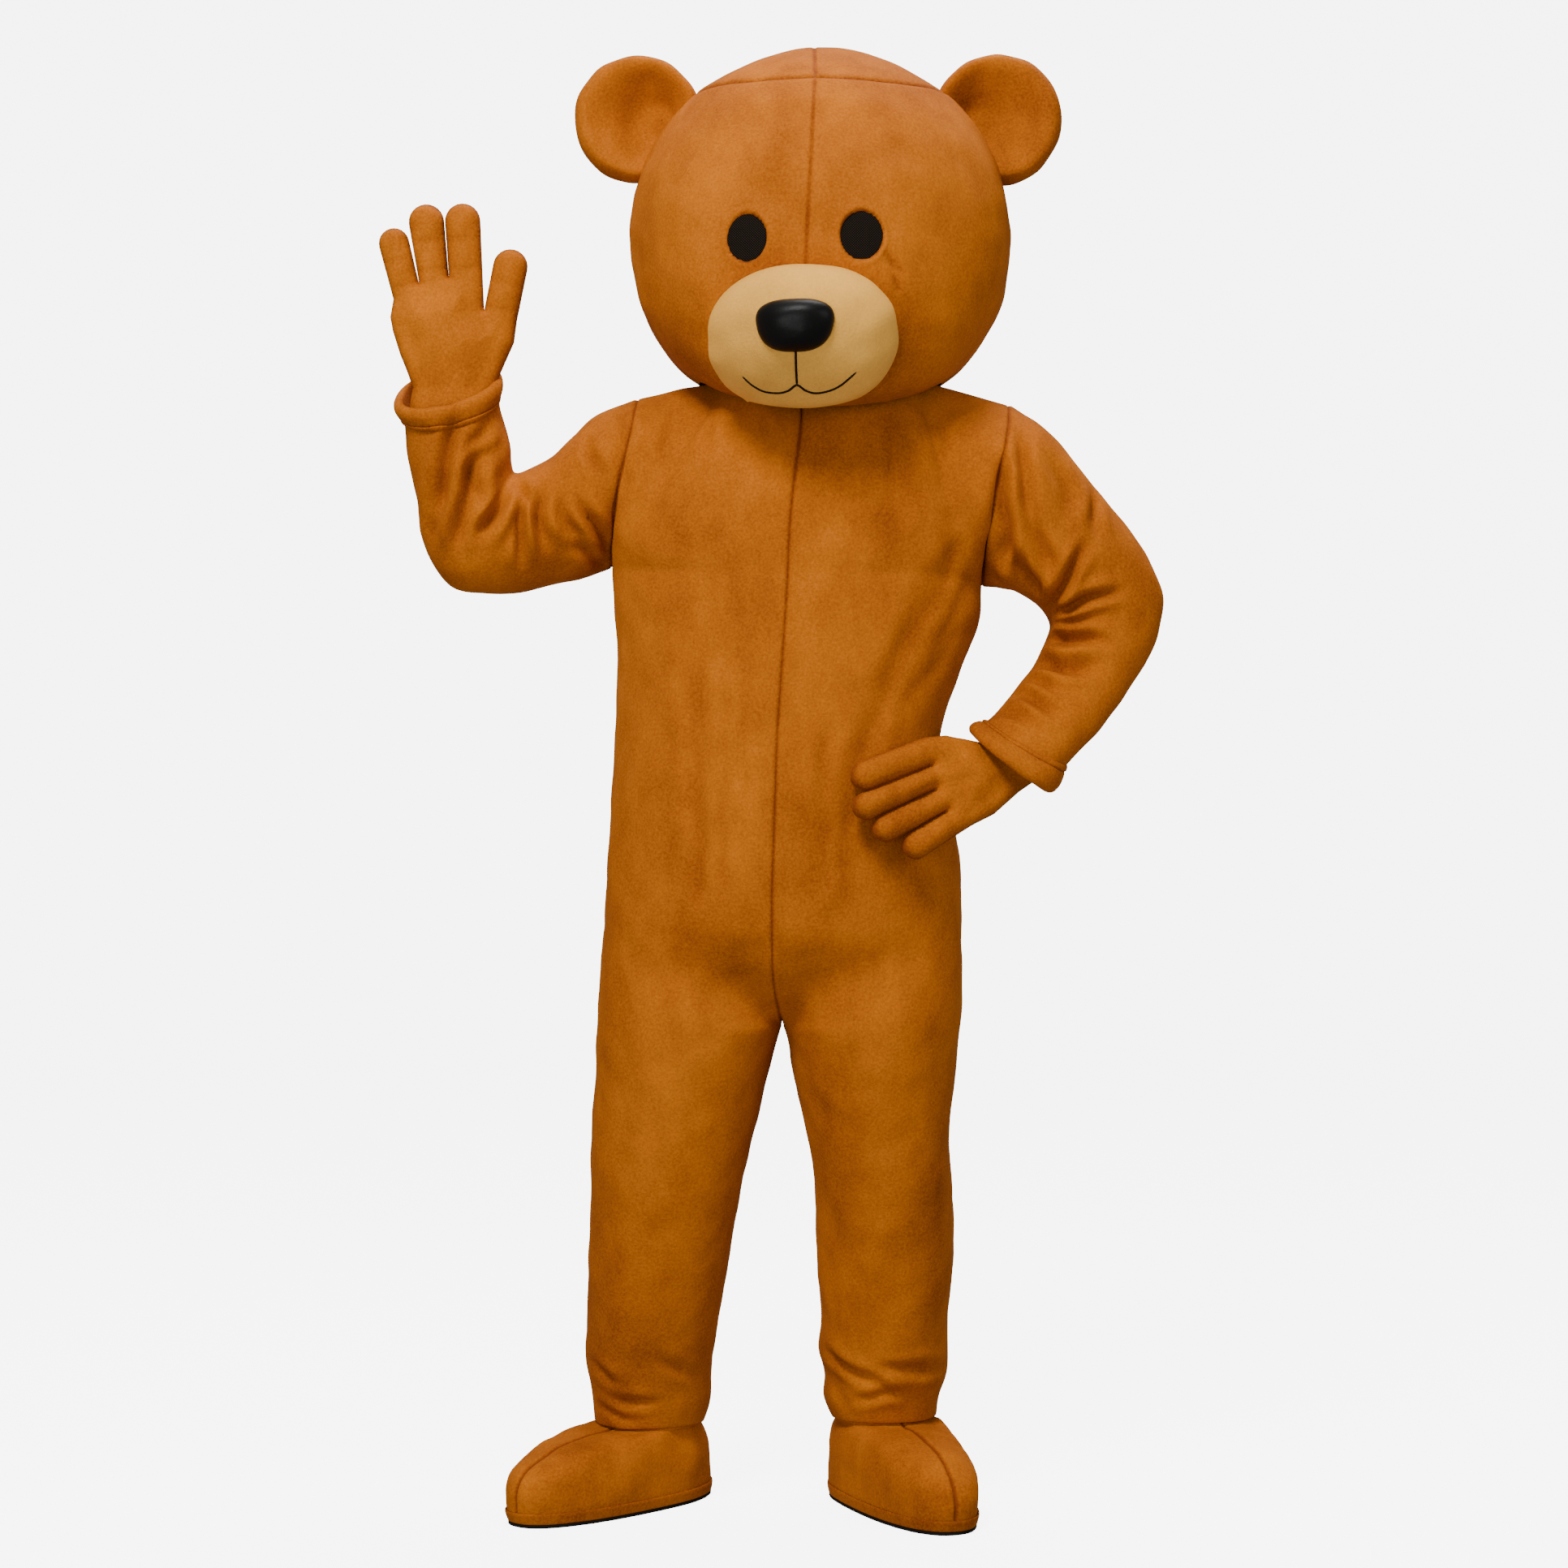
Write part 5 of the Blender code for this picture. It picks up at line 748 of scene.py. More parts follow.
def mesh_material(name):
    """Black net: small pale dots in staggered rows on a dark ground."""
    result, nodes, links, shader, coordinates = new_material(name)
    split = nodes.new("ShaderNodeSeparateXYZ")
    links.new(coordinates.outputs["Object"], split.inputs["Vector"])
    join = nodes.new("ShaderNodeCombineXYZ")
    for operation, target in (("ADD", "X"), ("SUBTRACT", "Y")):
        turn = nodes.new("ShaderNodeMath")
        turn.operation = operation
        links.new(split.outputs["X"], turn.inputs[0])
        links.new(split.outputs["Z"], turn.inputs[1])
        links.new(turn.outputs["Value"], join.inputs[target])
    cells = nodes.new("ShaderNodeTexVoronoi")
    cells.voronoi_dimensions = "2D"
    cells.inputs["Scale"].default_value = 330.0
    cells.inputs["Randomness"].default_value = 0.0
    links.new(join.outputs["Vector"], cells.inputs["Vector"])
    ramp = nodes.new("ShaderNodeValToRGB")
    ramp.color_ramp.elements[0].color = (0.026, 0.018, 0.012, 1.0)
    ramp.color_ramp.elements[1].color = (0.0015, 0.0012, 0.001, 1.0)
    ramp.color_ramp.elements[0].position = 0.22
    ramp.color_ramp.elements[1].position = 0.42
    links.new(cells.outputs["Distance"], ramp.inputs["Fac"])
    links.new(ramp.outputs["Color"], shader.inputs["Base Color"])
    shader.inputs["Roughness"].default_value = 0.9
    shader.inputs["Specular IOR Level"].default_value = 0.05
    return result


def build_materials(settings):
    """Every finish of the costume, kept for the later steps."""
    light = tuple(settings.plush_light)
    # plush_dark is the darker nap tone and also the colour of the painted shade.
    dark = tuple(settings.plush_dark)
    shared["plush"] = plush_material("brown_plush_look", light, dark, settings.pile_height)
    cream = tuple(settings.cream)
    # cream_dark is the muzzle's darker tone and also the colour of its painted shade.
    cream_dark = tuple(c * 0.72 for c in cream)
    shared["cream"] = plush_material("cream_plush_look", cream, cream_dark, settings.pile_height)
    shared["leather"] = plain_material("black_leathercloth_look", (0.0022, 0.0018, 0.0015), 0.42,
                                       grain=420.0, depth=0.0005, gloss=0.14)
    shared["net"] = mesh_material("black_mesh_look")
    shared["cord"] = plain_material("black_cord_look", (0.010, 0.006, 0.004), 0.9, gloss=0.1)
    shared["sole"] = plain_material("black_sole_look", (0.006, 0.005, 0.004), 0.8, gloss=0.1)
    tape = tuple(c * 0.55 for c in light)
    shared["tape"] = plain_material("zip_tape_look", tape, 0.85, grain=1500.0, depth=0.0003)
    shared["metal"] = plain_material("zip_metal_look", (0.42, 0.32, 0.16), 0.35, metallic=1.0, grain=700.0,
                                     depth=0.00005)


def build_suit(settings):
    """Body panels with rolled ankle hems, and the sleeves."""
    grids = {}
    for side in ("left", "right"):
        for face in ("front", "back"):
            grids["body_%s_%s" % (face, side)] = body_grid(side, face)
        grids["sleeve_" + side] = sleeve_grid(side, grids["body_front_" + side], grids["body_back_" + side])
    sheets = {}
    for name, grid in grids.items():
        if name.startswith("body"):
            facing = np.array([0, -1.0 if "front" in name else 1.0, 0])
            sheets[name] = sheet_of(grid, lambda points, facing=facing: facing)
        else:
            middle = np.repeat(grid.mean(axis=1), grid.shape[1], axis=0)
            sheets[name] = sheet_of(grid, lambda points, middle=middle: points - middle, closed=True)
    names = list(sheets)
    normals = dict(zip(names, joined_normals([sheets[name] for name in names])))
    shades = {}
    for name in names:
        points = sheets[name][0]
        shift, shade = crease_shift(points, normals[name])
        if name.startswith("sleeve"):
            shift = shift * SLEEVE_CREASE
        shift = shift * settings.crease_depth
        shift += ripple(points, 0.11, 1) * 0.0011 + ripple(points, 0.045, 2) * 0.0005
        grid = grids[name]
        if name.startswith("body"):
            across = arc(grid, 1)
            seams = groove(across, SEAM_WIDTH) + groove(across[:, -1:] - across, SEAM_WIDTH)
            upward = arc(grid, 0)
            seams += groove(upward[-1:] - upward, SEAM_WIDTH) * (np.arange(grid.shape[1]) < 30)
        else:
            along = arc(grid, 0)
            seams = groove(along, 0.0022)
        seams = np.clip(seams, 0, 1).reshape(-1)
        shift += seams * settings.seam_depth
        # Painted shade in the creases and along the seams.
        shades[name] = np.clip(shade * 0.30 + seams * 0.55, 0, 1)
        sheets[name][0] = points - normals[name] * shift[:, None]
    shared["suit"] = {name: sheets[name][0].reshape(grids[name].shape) for name in names}
    normals = dict(zip(names, joined_normals([sheets[name] for name in names])))
    shared["suit_normals"] = {name: normals[name].reshape(grids[name].shape) for name in names}
    for name in names:
        points, faces = sheets[name]
        grid = grids[name]
        if name.startswith("body"):
            columns = grid.shape[1]
            hem = points[:columns]
            out = normals[name][:columns]
            turns = [hem - out * inward + np.array([0, 0, rise]) for inward, rise in HEM_TURN]
            points = np.concatenate([np.concatenate(turns[::-1]), points])
            rows = len(points) // columns
            new_faces = quads(rows, columns)
            if (faces[0] != quads(2, columns)[0]).any():
                new_faces = new_faces[:, ::-1]
            faces = new_faces
            # Painted shade on the turned-under hem rows.
            shades[name] = np.concatenate([np.full(4 * columns, 0.4), shades[name]])
            width = arc(grid, 1)[:, -1].max()
            length = arc(grid, 0)[-1].max() + 0.015
            held = "hung"
        else:
            width = max(girth(ring) for ring in grid)
            length = arc(grid, 0)[-1].max()
            held = "draped"
        add_piece(name + "_cloth", name, points, faces, shared["plush"], "brown_plush", shades[name],
                  (width, length), held)


def build_cuffs(settings):
    """Turned cuff bands: a rounded profile round the end of each sleeve, with a groove for a line of
    stitching and painted shade at its edges and in the groove.
    """
    for side in ("left", "right"):
        rows = shared["suit"]["sleeve_" + side]
        normals = shared["suit_normals"]["sleeve_" + side]
        along = arc(rows, 0)
        end = along[-1].mean()
        where = int(np.argmin(np.abs(along.mean(axis=1) - (end - CUFF_WIDTH[side]))))
        start = rows[where]
        finish = rows[-1]
        tilt = normals[-6]
        grid = np.array([start + (finish - start) * share + tilt * (lift * CUFF_PUFF if lift > 0 else lift)
                         for share, lift in CUFF_PROFILE])
        grid = smooth_rows(grid, np.linspace(0, len(CUFF_PROFILE) - 1, 53))
        grid += (tilt * (ripple(grid[26], 0.05, 8) * 0.0009)[:, None])[None]
        middle = grid.mean(axis=(0, 1))
        sheet = sheet_of(grid, lambda points: points - middle, closed=True)
        # Painted shade at the upper edge, in the stitching groove and on the inner end under the lip.
        dark = np.interp(np.arange(53) / 4, (0, 1, 3.6, 4.0, 4.5, 9, 13), (0.8, 0.2, 0.1, 0.7, 0.1, 0.0, 0.6))
        shade = np.repeat(dark, grid.shape[1])
        add_piece("cuff_%s_cloth" % side, "cuff_" + side, *sheet, shared["plush"], "brown_plush", shade,
                  (girth(grid[20]), arc(grid, 0)[-1].max()), "folded")


def head_surface():
    """The whole head cover: |cos|^0.95 by |sin|^0.95 rings whose height follows the side, front and back."""
    front = ended(HEAD_FRONT_COLUMNS + 1, 0.45)[:-1]
    back = np.linspace(0, 1, HEAD_BACK_COLUMNS + 1)[:-1]
    turn = np.concatenate([front, 1 + front, 2 + back, 3 + back]) * math.pi / 2
    across = -np.cos(turn)
    forward = np.sin(turn)
    rows = []
    for side_h, front_h, back_h, half, reach_front, reach_back in HEAD_TABLE:
        x = HEAD_X + half * np.sign(across) * np.abs(across) ** 0.95
        reach = np.where(forward > 0, reach_front, reach_back)
        y = -reach * np.sign(forward) * np.abs(forward) ** 0.95
        level = np.where(forward > 0, front_h, back_h)
        rows.append(np.stack([x, y, side_h + (level - side_h) * np.abs(forward) ** 1.6], axis=-1))
    rows.append(np.tile([HEAD_X, 0.0, HEAD_TOP], (len(turn), 1)))
    last = len(rows) - 1
    positions = np.concatenate([np.linspace(0, last - 1, (last - 1) * HEAD_ROWS_A_STEP + 1),
                                last - 1 + np.sqrt(np.linspace(0, 1, 9)[1:])])
    return smooth_rows(rows, positions), turn, positions


def build_head(settings):
    """Four head panels with their seams, eye hollows and a few wrinkles beside the right eye, all darkened
    with painted shade.
    """
    grid, turn, positions = head_surface()
    middle = np.array([HEAD_X, 0.0, 1.55])
    points, faces = sheet_of(grid, lambda p: p - middle, closed=True)
    normals = joined_normals([[points, faces]])[0]
    columns = grid.shape[1]
    row = np.repeat(positions, columns)
    angle = np.tile(turn, len(positions))
    x = points[:, 0]
    height = points[:, 2]
    front_face = (angle > 0) & (angle < math.pi)
    from_side = np.minimum(np.abs(angle), np.abs(angle - math.pi))
    from_side = np.minimum(from_side, np.abs(angle - 2 * math.pi)) * 0.22
    seam_x = HEAD_X + np.interp(height, (1.50, 1.74), (-0.020, -0.008)) * front_face * (points[:, 1] < 0)
    seams = groove(x - seam_x, HEAD_SEAM_WIDTH)
    seams *= np.where(front_face, smooth_step((height - 1.48) / 0.02), 1.0)
    seams = np.maximum(seams, groove((row - CROSS_SEAM_ROW) * 0.035, 0.0024) * front_face)
    seams = np.maximum(seams, groove(from_side, 0.0030) * (row <= CROSS_SEAM_ROW))
    shift = seams * settings.seam_depth * 0.9
    shift += ripple(points, 0.13, 11) * 0.0012 + ripple(points, 0.05, 12) * 0.0005
    # Painted shade in the seams.
    shade = seams * 0.5
    for _, eye_x, eye_h, half, tall in EYES:
        q = np.hypot((x - eye_x) / half, (height - eye_h) / tall)
        q = np.where(points[:, 1] < 0, q, 9.0)
        shift += 0.0075 * smooth_step((1.05 - q) / 0.14) - 0.0016 * groove(q - 1.16, 0.09)
        # Painted shade in the eye hollow behind the net.
        shade = np.maximum(shade, smooth_step((1.05 - q) / 0.10))
    for line in EYE_WRINKLES:
        run, across, length = beside_line(points, line)
        ends = smooth_step((run + 0.006) / 0.012) * smooth_step((length + 0.006 - run) / 0.012)
        wrinkle = groove(across, 0.004) * ends * (points[:, 1] < 0)
        shift += 0.0018 * wrinkle
        # Painted shade in the wrinkle.
        shade = np.maximum(shade, wrinkle * 0.5)
    points = points - normals * shift[:, None]
    shared["head"] = tree_of(points, faces)
    corner_row = row[faces].mean(axis=1)
    corner_angle = angle[faces]
    corner_angle = np.where(corner_angle.max(axis=1) - corner_angle.min(axis=1) > 3,
                            2 * math.pi - 1e-3, corner_angle.mean(axis=1))
    face_part = (corner_angle < math.pi) & (corner_row < CROSS_SEAM_ROW)
    left_part = (corner_angle < math.pi / 2) | (corner_angle > 1.5 * math.pi)
    parts = {
        "face_left": face_part & left_part, "face_right": face_part & ~left_part,
        "head_back_left": ~face_part & left_part, "head_back_right": ~face_part & ~left_part,
    }
    for name, chosen in parts.items():
        used, inverse = np.unique(faces[chosen], return_inverse=True)
        own = inverse.reshape(-1, 4)
        span = points[used].max(axis=0) - points[used].min(axis=0)
        width = math.hypot(span[0], span[1]) * HEAD_ALLOWANCE
        length = span[2] * (FACE_ALLOWANCE if "face" in name else HEAD_BACK_ALLOWANCE)
        add_piece(name + "_cloth", name, points[used], own, shared["plush"], "brown_plush", shade[used],
                  (width, length), "stretched", merge=True)


def build_face(settings):
    """Eye nets, muzzle cup with its edge, padded nose and sewn mouth."""
    head = shared["head"]
    turn = 2 * math.pi * np.arange(64) / 64
    for side, eye_x, eye_h, half, tall in EYES:
        grid = np.array([[(eye_x + half * share * math.cos(angle), 0.0,
                           eye_h + tall * share * math.sin(angle)) for angle in turn]
                         for share in np.linspace(1.06, 0.0, 14)])
        left_y = front_of(head, eye_x - half * 1.25, eye_h)
        right_y = front_of(head, eye_x + half * 1.25, eye_h)
        top_y = front_of(head, eye_x, eye_h + tall * 1.25)
        low_y = front_of(head, eye_x, eye_h - tall * 1.25)
        tilt_x = (right_y - left_y) / (2.5 * half)
        tilt_h = (top_y - low_y) / (2.5 * tall)
        base = (left_y + right_y + top_y + low_y) / 4
        q = np.hypot((grid[..., 0] - eye_x) / half, (grid[..., 2] - eye_h) / tall)
        grid[..., 1] = (base + tilt_x * (grid[..., 0] - eye_x) + tilt_h * (grid[..., 2] - eye_h)
                        + 0.0030 - 0.0018 * (1 - q ** 2))
        sheet = sheet_of(grid, turned_front, closed=True)
        add_piece("eye_net_" + side, "eye_mesh_" + side, *sheet, shared["net"], "black_mesh", merge=True)
    centre_x, centre_h, half, tall = MUZZLE
    turn = 2 * math.pi * np.arange(160) / 160
    cosine = np.sign(np.cos(turn)) * np.abs(np.cos(turn)) ** 0.9
    sine = np.sign(np.sin(turn)) * np.abs(np.sin(turn)) ** 0.9
    rows = []
    for share, reach, drop in ((0.985, -0.006, 0.0),) + MUZZLE_ROWS:
        base = min(share, 1.0)
        row = []
        for c, s in zip(cosine, sine):
            level = max(centre_h + tall * base * s, CHIN_LEVEL)
            y = front_of(head, centre_x + half * base * c, level)
            row.append((centre_x + half * share * c, y - reach, centre_h + tall * share * s - drop))
        rows.append(row)
    grid = smooth_rows(rows, np.linspace(0, len(rows) - 1, 71))
    # Painted shade along the muzzle's rim where it tucks into the head.
    shade = np.repeat(np.interp(np.arange(71) / 10, (0, 1.0, 1.5, 2.2), (1.0, 0.9, 0.25, 0.0)), 160)
    points, faces = sheet_of(grid, turned_front, closed=True)
    normals = joined_normals([[points, faces]])[0]
    points = points - normals * (ripple(points, 0.06, 21) * 0.0006)[:, None]
    cup = tree_of(points, faces)
    add_piece("muzzle_cloth", "muzzle", points, faces, shared["cream"], "cream_plush", shade,
              MUZZLE_FLAT, "stretched", merge=True)
    centre_x, centre_h, half, tall = NOSE
    turn = 2 * math.pi * np.arange(96) / 96
    rows = []
    for share in np.concatenate([[1.0, 1.0], np.cos(np.linspace(0.06, 1.48, 25)), [0.0]]):
        row = []
        for angle in turn:
            c = math.copysign(abs(math.cos(angle)) ** 0.72, math.cos(angle))
            s = math.copysign(abs(math.sin(angle)) ** 0.80, math.sin(angle))
            spot_x = centre_x + half * share * c * (1.0 + 0.14 * s)
            spot_h = centre_h + tall * share * s
            bulge = NOSE_BULGE * math.sqrt(max(0.0, 1 - share ** 2.4)) + 0.0012 if rows else -0.003
            row.append((spot_x, front_of(cup, spot_x, spot_h) - bulge, spot_h))
        rows.append(row)
    sheet = sheet_of(np.array(rows), turned_front, closed=True)
    nose = add_piece("nose_pad", "nose", *sheet, shared["leather"], "black_leathercloth", merge=True)
    for name, line in zip(("mouth_upright", "mouth_curve"), MOUTH_LINES):
        spots = smooth_rows(np.array(line), np.linspace(0, len(line) - 1, 12 * (len(line) - 1) + 1))
        path = np.array([(x, front_of(cup, x, h) - 0.0006, h) for x, h in spots])
        along = np.gradient(path, axis=0)
        along /= np.linalg.norm(along, axis=1)[:, None]
        across = np.cross(along, np.array([0, 1.0, 0]))
        across /= np.linalg.norm(across, axis=1)[:, None]
        out = np.cross(across, along)
        ends = np.sqrt(np.clip(1 - np.linspace(-1, 1, len(path)) ** 16, 0.02, 1))[:, None]
        ring = 2 * math.pi * np.arange(10) / 10
        tube = np.stack([path + across * math.cos(a) * 0.0014 * ends + out * math.sin(a) * 0.0011 * ends
                         for a in ring], axis=1)
        sheet = sheet_of(tube, lambda p: p - np.repeat(path, 10, axis=0), closed=True)
        add_piece(name + "_cord", name, *sheet, shared["cord"], "black_cord")


def build_ears(settings):
    """Dished ear fronts and full ear backs with a rolled rim between them."""
    turn = 2 * math.pi * np.arange(120) / 120
    circle = np.stack([np.cos(turn), np.sin(turn)], axis=-1)
    for side, ear_x, ear_h, radius, deep_x, deep_h in EARS:
        seam_centre = np.array([ear_x, ear_h])
        deep = np.array([deep_x, deep_h])
        sheets = []
        grids = []
        for face, table in (("front", EAR_FRONT_ROWS), ("back", EAR_BACK_ROWS)):
            rows = smooth_rows(np.array(table), np.linspace(0, len(table) - 1, 8 * len(table)))
            grid = []
            for share, rise in rows:
                shift = (1 - share) if face == "front" else 0
                flat = seam_centre + (deep - seam_centre) * shift + circle * radius * share
                y = EAR_Y - EAR_ROLL * rise if face == "front" else EAR_Y + EAR_BACK * rise
                grid.append(np.stack([flat[:, 0], np.full(len(turn), y), flat[:, 1]], axis=-1))
            grid = np.array(grid)
            sign = -1.0 if face == "front" else 1.0
            grids.append(grid)
            sheets.append(sheet_of(grid, lambda p, sign=sign: np.array([0, sign, 0]), closed=True))
        normals = joined_normals(sheets)
        for face, grid, (points, faces), out in zip(("front", "back"), grids, sheets, normals):
            edge = np.repeat(arc(grid, 0)[:, 0], len(turn))
            seam = groove(edge, 0.0025)
            shift = seam * settings.seam_depth + ripple(points, 0.06, 31) * 0.0011
            moved = points - out * shift[:, None]
            name = "ear_%s_%s" % (face, side)
            # seam * 0.7 is painted shade in the rim seam.
            add_piece(name + "_cloth", name, moved, faces, shared["plush"], "brown_plush", seam * 0.7,
                      (radius * EAR_ALLOWANCE, radius * EAR_ALLOWANCE), "stretched", merge=True)


def glove_outline(digits, palm_left, palm_right, webs):
    """Outline of a glove in its own plane, from the wrist's left end round the digits to its right end."""
    outline = [tuple(point) for point in palm_left]
    for index, (root_a, root_b, tip_a, tip_b, radius) in enumerate(digits):
        root = np.array([root_a, root_b])
        tip = np.array([tip_a, tip_b])
        along = (tip - root) / np.linalg.norm(tip - root)
        left = np.array([-along[1], along[0]])
        centre = tip - along * radius
        if index == 0:
            outline.append(tuple(root + left * radius))
        for step in range(FINGER_ROUND + 1):
            angle = math.pi * step / FINGER_ROUND
            outline.append(tuple(centre + radius * (left * math.cos(angle) + along * math.sin(angle))))
        if index < len(digits) - 1:
            outline.append(tuple(webs[index]))
        else:
            outline.append(tuple(root - left * radius))
    outline += [tuple(point) for point in palm_right]
    return np.array(outline)


def spaced(outline, step):
    """A polyline with points at most a step apart."""
    result = [outline[0]]
    for a, b in zip(outline[:-1], outline[1:]):
        count = max(1, int(math.ceil(np.linalg.norm(b - a) / step)))
        result += [a + (b - a) * k / count for k in range(1, count + 1)]
    return np.array(result)


def seam_distance(points, outline):
    """How far points in a glove's plane are from a polyline."""
    best = np.full(len(points), 1e9)
    for a, b in zip(outline[:-1], outline[1:]):
        edge = b - a
        t = np.clip(((points - a) @ edge) / (edge @ edge), 0, 1)
        best = np.minimum(best, np.linalg.norm(points - (a + t[:, None] * edge), axis=1))
    return best


def wrist_rows(side, sign, wrist):
    """Rows that run from a glove's wrist edge up inside the sleeve, to just under its cloth."""
    rows = shared["suit"]["sleeve_" + side]
    target = (rows - shared["suit_normals"]["sleeve_" + side] * WRIST_UNDER)[-10]
    count = len(target)
    t = np.linspace(0, 1, len(wrist))
    if side == "left":
        position = count / 2 * (1 - t) if sign > 0 else count / 2 * (1 + t)
    else:
        position = count / 2 * t if sign > 0 else count - count / 2 * t
    index = np.floor(position + 1e-9).astype(int)
    part = (position - index)[:, None]
    goal = target[index % count] * (1 - part) + target[(index + 1) % count] * part
    steps = (1 - (1 - np.linspace(0, 1, WRIST_STEPS)[1:]) ** 2.6)[:, None, None]
    return wrist[None] * (1 - steps) + goal[None] * steps


def build_gloves(settings):
    """Gloves from two cushions of cloth each: rise sqrt(r^2 - (r - d)^2) at distance d from the side seam."""
    for side, spec in GLOVES.items():
        origin = np.array(spec["origin"])
        right = np.array(spec["across"]) / np.linalg.norm(spec["across"])
        up = np.array(spec["along"]) - right * (np.array(spec["along"]) @ right)
        up = up / np.linalg.norm(up)
        toward = np.cross(right, up)
        outline = spaced(glove_outline(spec["digits"], spec["left"], spec["right"], spec["webs"]), GLOVE_STEP)
        wrist = spaced(np.array([outline[-1], outline[0]]), GLOVE_STEP)[1:-1]
        loop = np.concatenate([outline, wrist])
        low = loop.min(axis=0)
        high = loop.max(axis=0)
        a, b = np.meshgrid(np.arange(low[0], high[0], GLOVE_STEP),
                           np.arange(low[1], high[1], GLOVE_STEP * 0.866))
        a = a + (np.arange(len(b)) % 2)[:, None] * GLOVE_STEP / 2
        inside = np.stack([a.reshape(-1), b.reshape(-1)], axis=-1)
        closed = np.concatenate([outline, outline[:1]])
        inside = inside[seam_distance(inside, closed) > GLOVE_STEP * 0.45]
        edges = [(i, (i + 1) % len(loop)) for i in range(len(loop))]
        result = delaunay_2d_cdt([Vector(p) for p in np.concatenate([loop, inside])], edges,
                                 [list(range(len(loop)))], 1, 1e-6)
        flat = np.array([tuple(p) for p in result[0]])
        faces = np.array([tuple(face) for face in result[2]])
        distance = seam_distance(flat, outline)
        inner = np.maximum(FINGER_ROLL ** 2 - (FINGER_ROLL - distance) ** 2, 0)
        rise = np.where(distance < FINGER_ROLL, np.sqrt(inner), FINGER_ROLL)
        rise = rise + (spec["depth"] - FINGER_ROLL) * smooth_step((distance - FINGER_ROLL * 0.8) / 0.032)
        base = outline[-1] - outline[0]
        off_line = np.abs((flat - outline[0]) @ np.array([-base[1], base[0]])) / np.linalg.norm(base)
        share = (flat - outline[0]) @ base / (base @ base)
        on_wrist = np.flatnonzero((off_line < 1e-5) & (share > -1e-6) & (share < 1 + 1e-6))
        on_wrist = on_wrist[np.argsort(share[on_wrist])]
        for sign in (1.0, -1.0):
            lines = np.zeros(len(flat))
            for root_a, root_b, tip_a, tip_b, width in spec["digits"]:
                root = np.array([root_a, root_b])
                tip = np.array([tip_a, tip_b])
                along = (tip - root) / np.linalg.norm(tip - root)
                for joint in (0.12, 0.50):
                    spot = root + (tip - root) * joint
                    run = (flat - spot) @ along
                    across = (flat - spot) @ np.array([-along[1], along[0]])
                    lines += groove(run, 0.0045) * np.exp(-(across / (width * 0.9)) ** 4) * 0.5
            points = origin + flat[:, :1] * right + flat[:, 1:] * up + toward * (sign * rise)[:, None]
            if (area_normals(points, faces) @ toward).sum() * sign < 0:
                turned = faces[:, ::-1]
            else:
                turned = faces
            normals = area_normals(points, turned)
            normals /= np.maximum(np.linalg.norm(normals, axis=1), 1e-12)[:, None]
            pinch = groove(distance, 0.0016)
            bumps = ripple(points, 0.035, 41 + int(sign)) * 0.0008 + lines * 0.0016
            free = smooth_step(distance / 0.004)
            points = points - normals * (bumps * free)[:, None]
            reach = wrist_rows(side, sign, points[on_wrist])
            added = reach.shape[0] * reach.shape[1]
            chain = np.concatenate([on_wrist, np.arange(len(points), len(points) + added)])
            strip = chain[quads(reach.shape[0] + 1, reach.shape[1])]
            points = np.concatenate([points, reach.reshape(-1, 3)])
            edge_pair = {(int(f[k]), int(f[(k + 1) % 3])) for f in turned for k in range(3)}
            if (int(on_wrist[0]), int(on_wrist[1])) in edge_pair:
                strip = strip[:, ::-1]
            turned = np.concatenate([turned, strip[:, [0, 1, 2]], strip[:, [0, 2, 3]]])
            palm = (sign > 0) == (side == "left")
            name = "glove_%s_%s" % ("palm" if palm else "back", side)
            # Painted shade in the pinched side seam and along the finger joint lines.
            shade = np.concatenate([np.clip(pinch * 0.6 + lines * 0.15, 0, 1), np.zeros(added)])
            span = flat.max(axis=0) - flat.min(axis=0)
            add_piece(name + "_cloth", name, points, turned, shared["plush"], "brown_plush", shade,
                      (span[0] * GLOVE_ALLOWANCE[0], span[1] * GLOVE_ALLOWANCE[1]), "stretched")


def shoe_ring(ankle, heading, turn, height, toe, heel, half, extra=0.0):
    """A level ring of a foot cover; its first point is at the toe."""
    c = np.sign(np.cos(turn)) * np.abs(np.cos(turn)) ** 0.86
    s = np.sign(np.sin(turn)) * np.abs(np.sin(turn)) ** 0.86
    along = np.where(c > 0, (toe + extra) * c, (heel + extra) * c)
    widen = 1.0 - 0.16 * smooth_step((0.02 - along) / 0.16)
    across = (half + extra) * s * widen
    angle = math.radians(heading)
    forward = np.array([-math.sin(angle), -math.cos(angle)])
    sideways = np.array([math.cos(angle), -math.sin(angle)])
    flat = np.array(ankle) + along[:, None] * forward + across[:, None] * sideways
    return np.column_stack([flat, np.full(len(turn), height)])


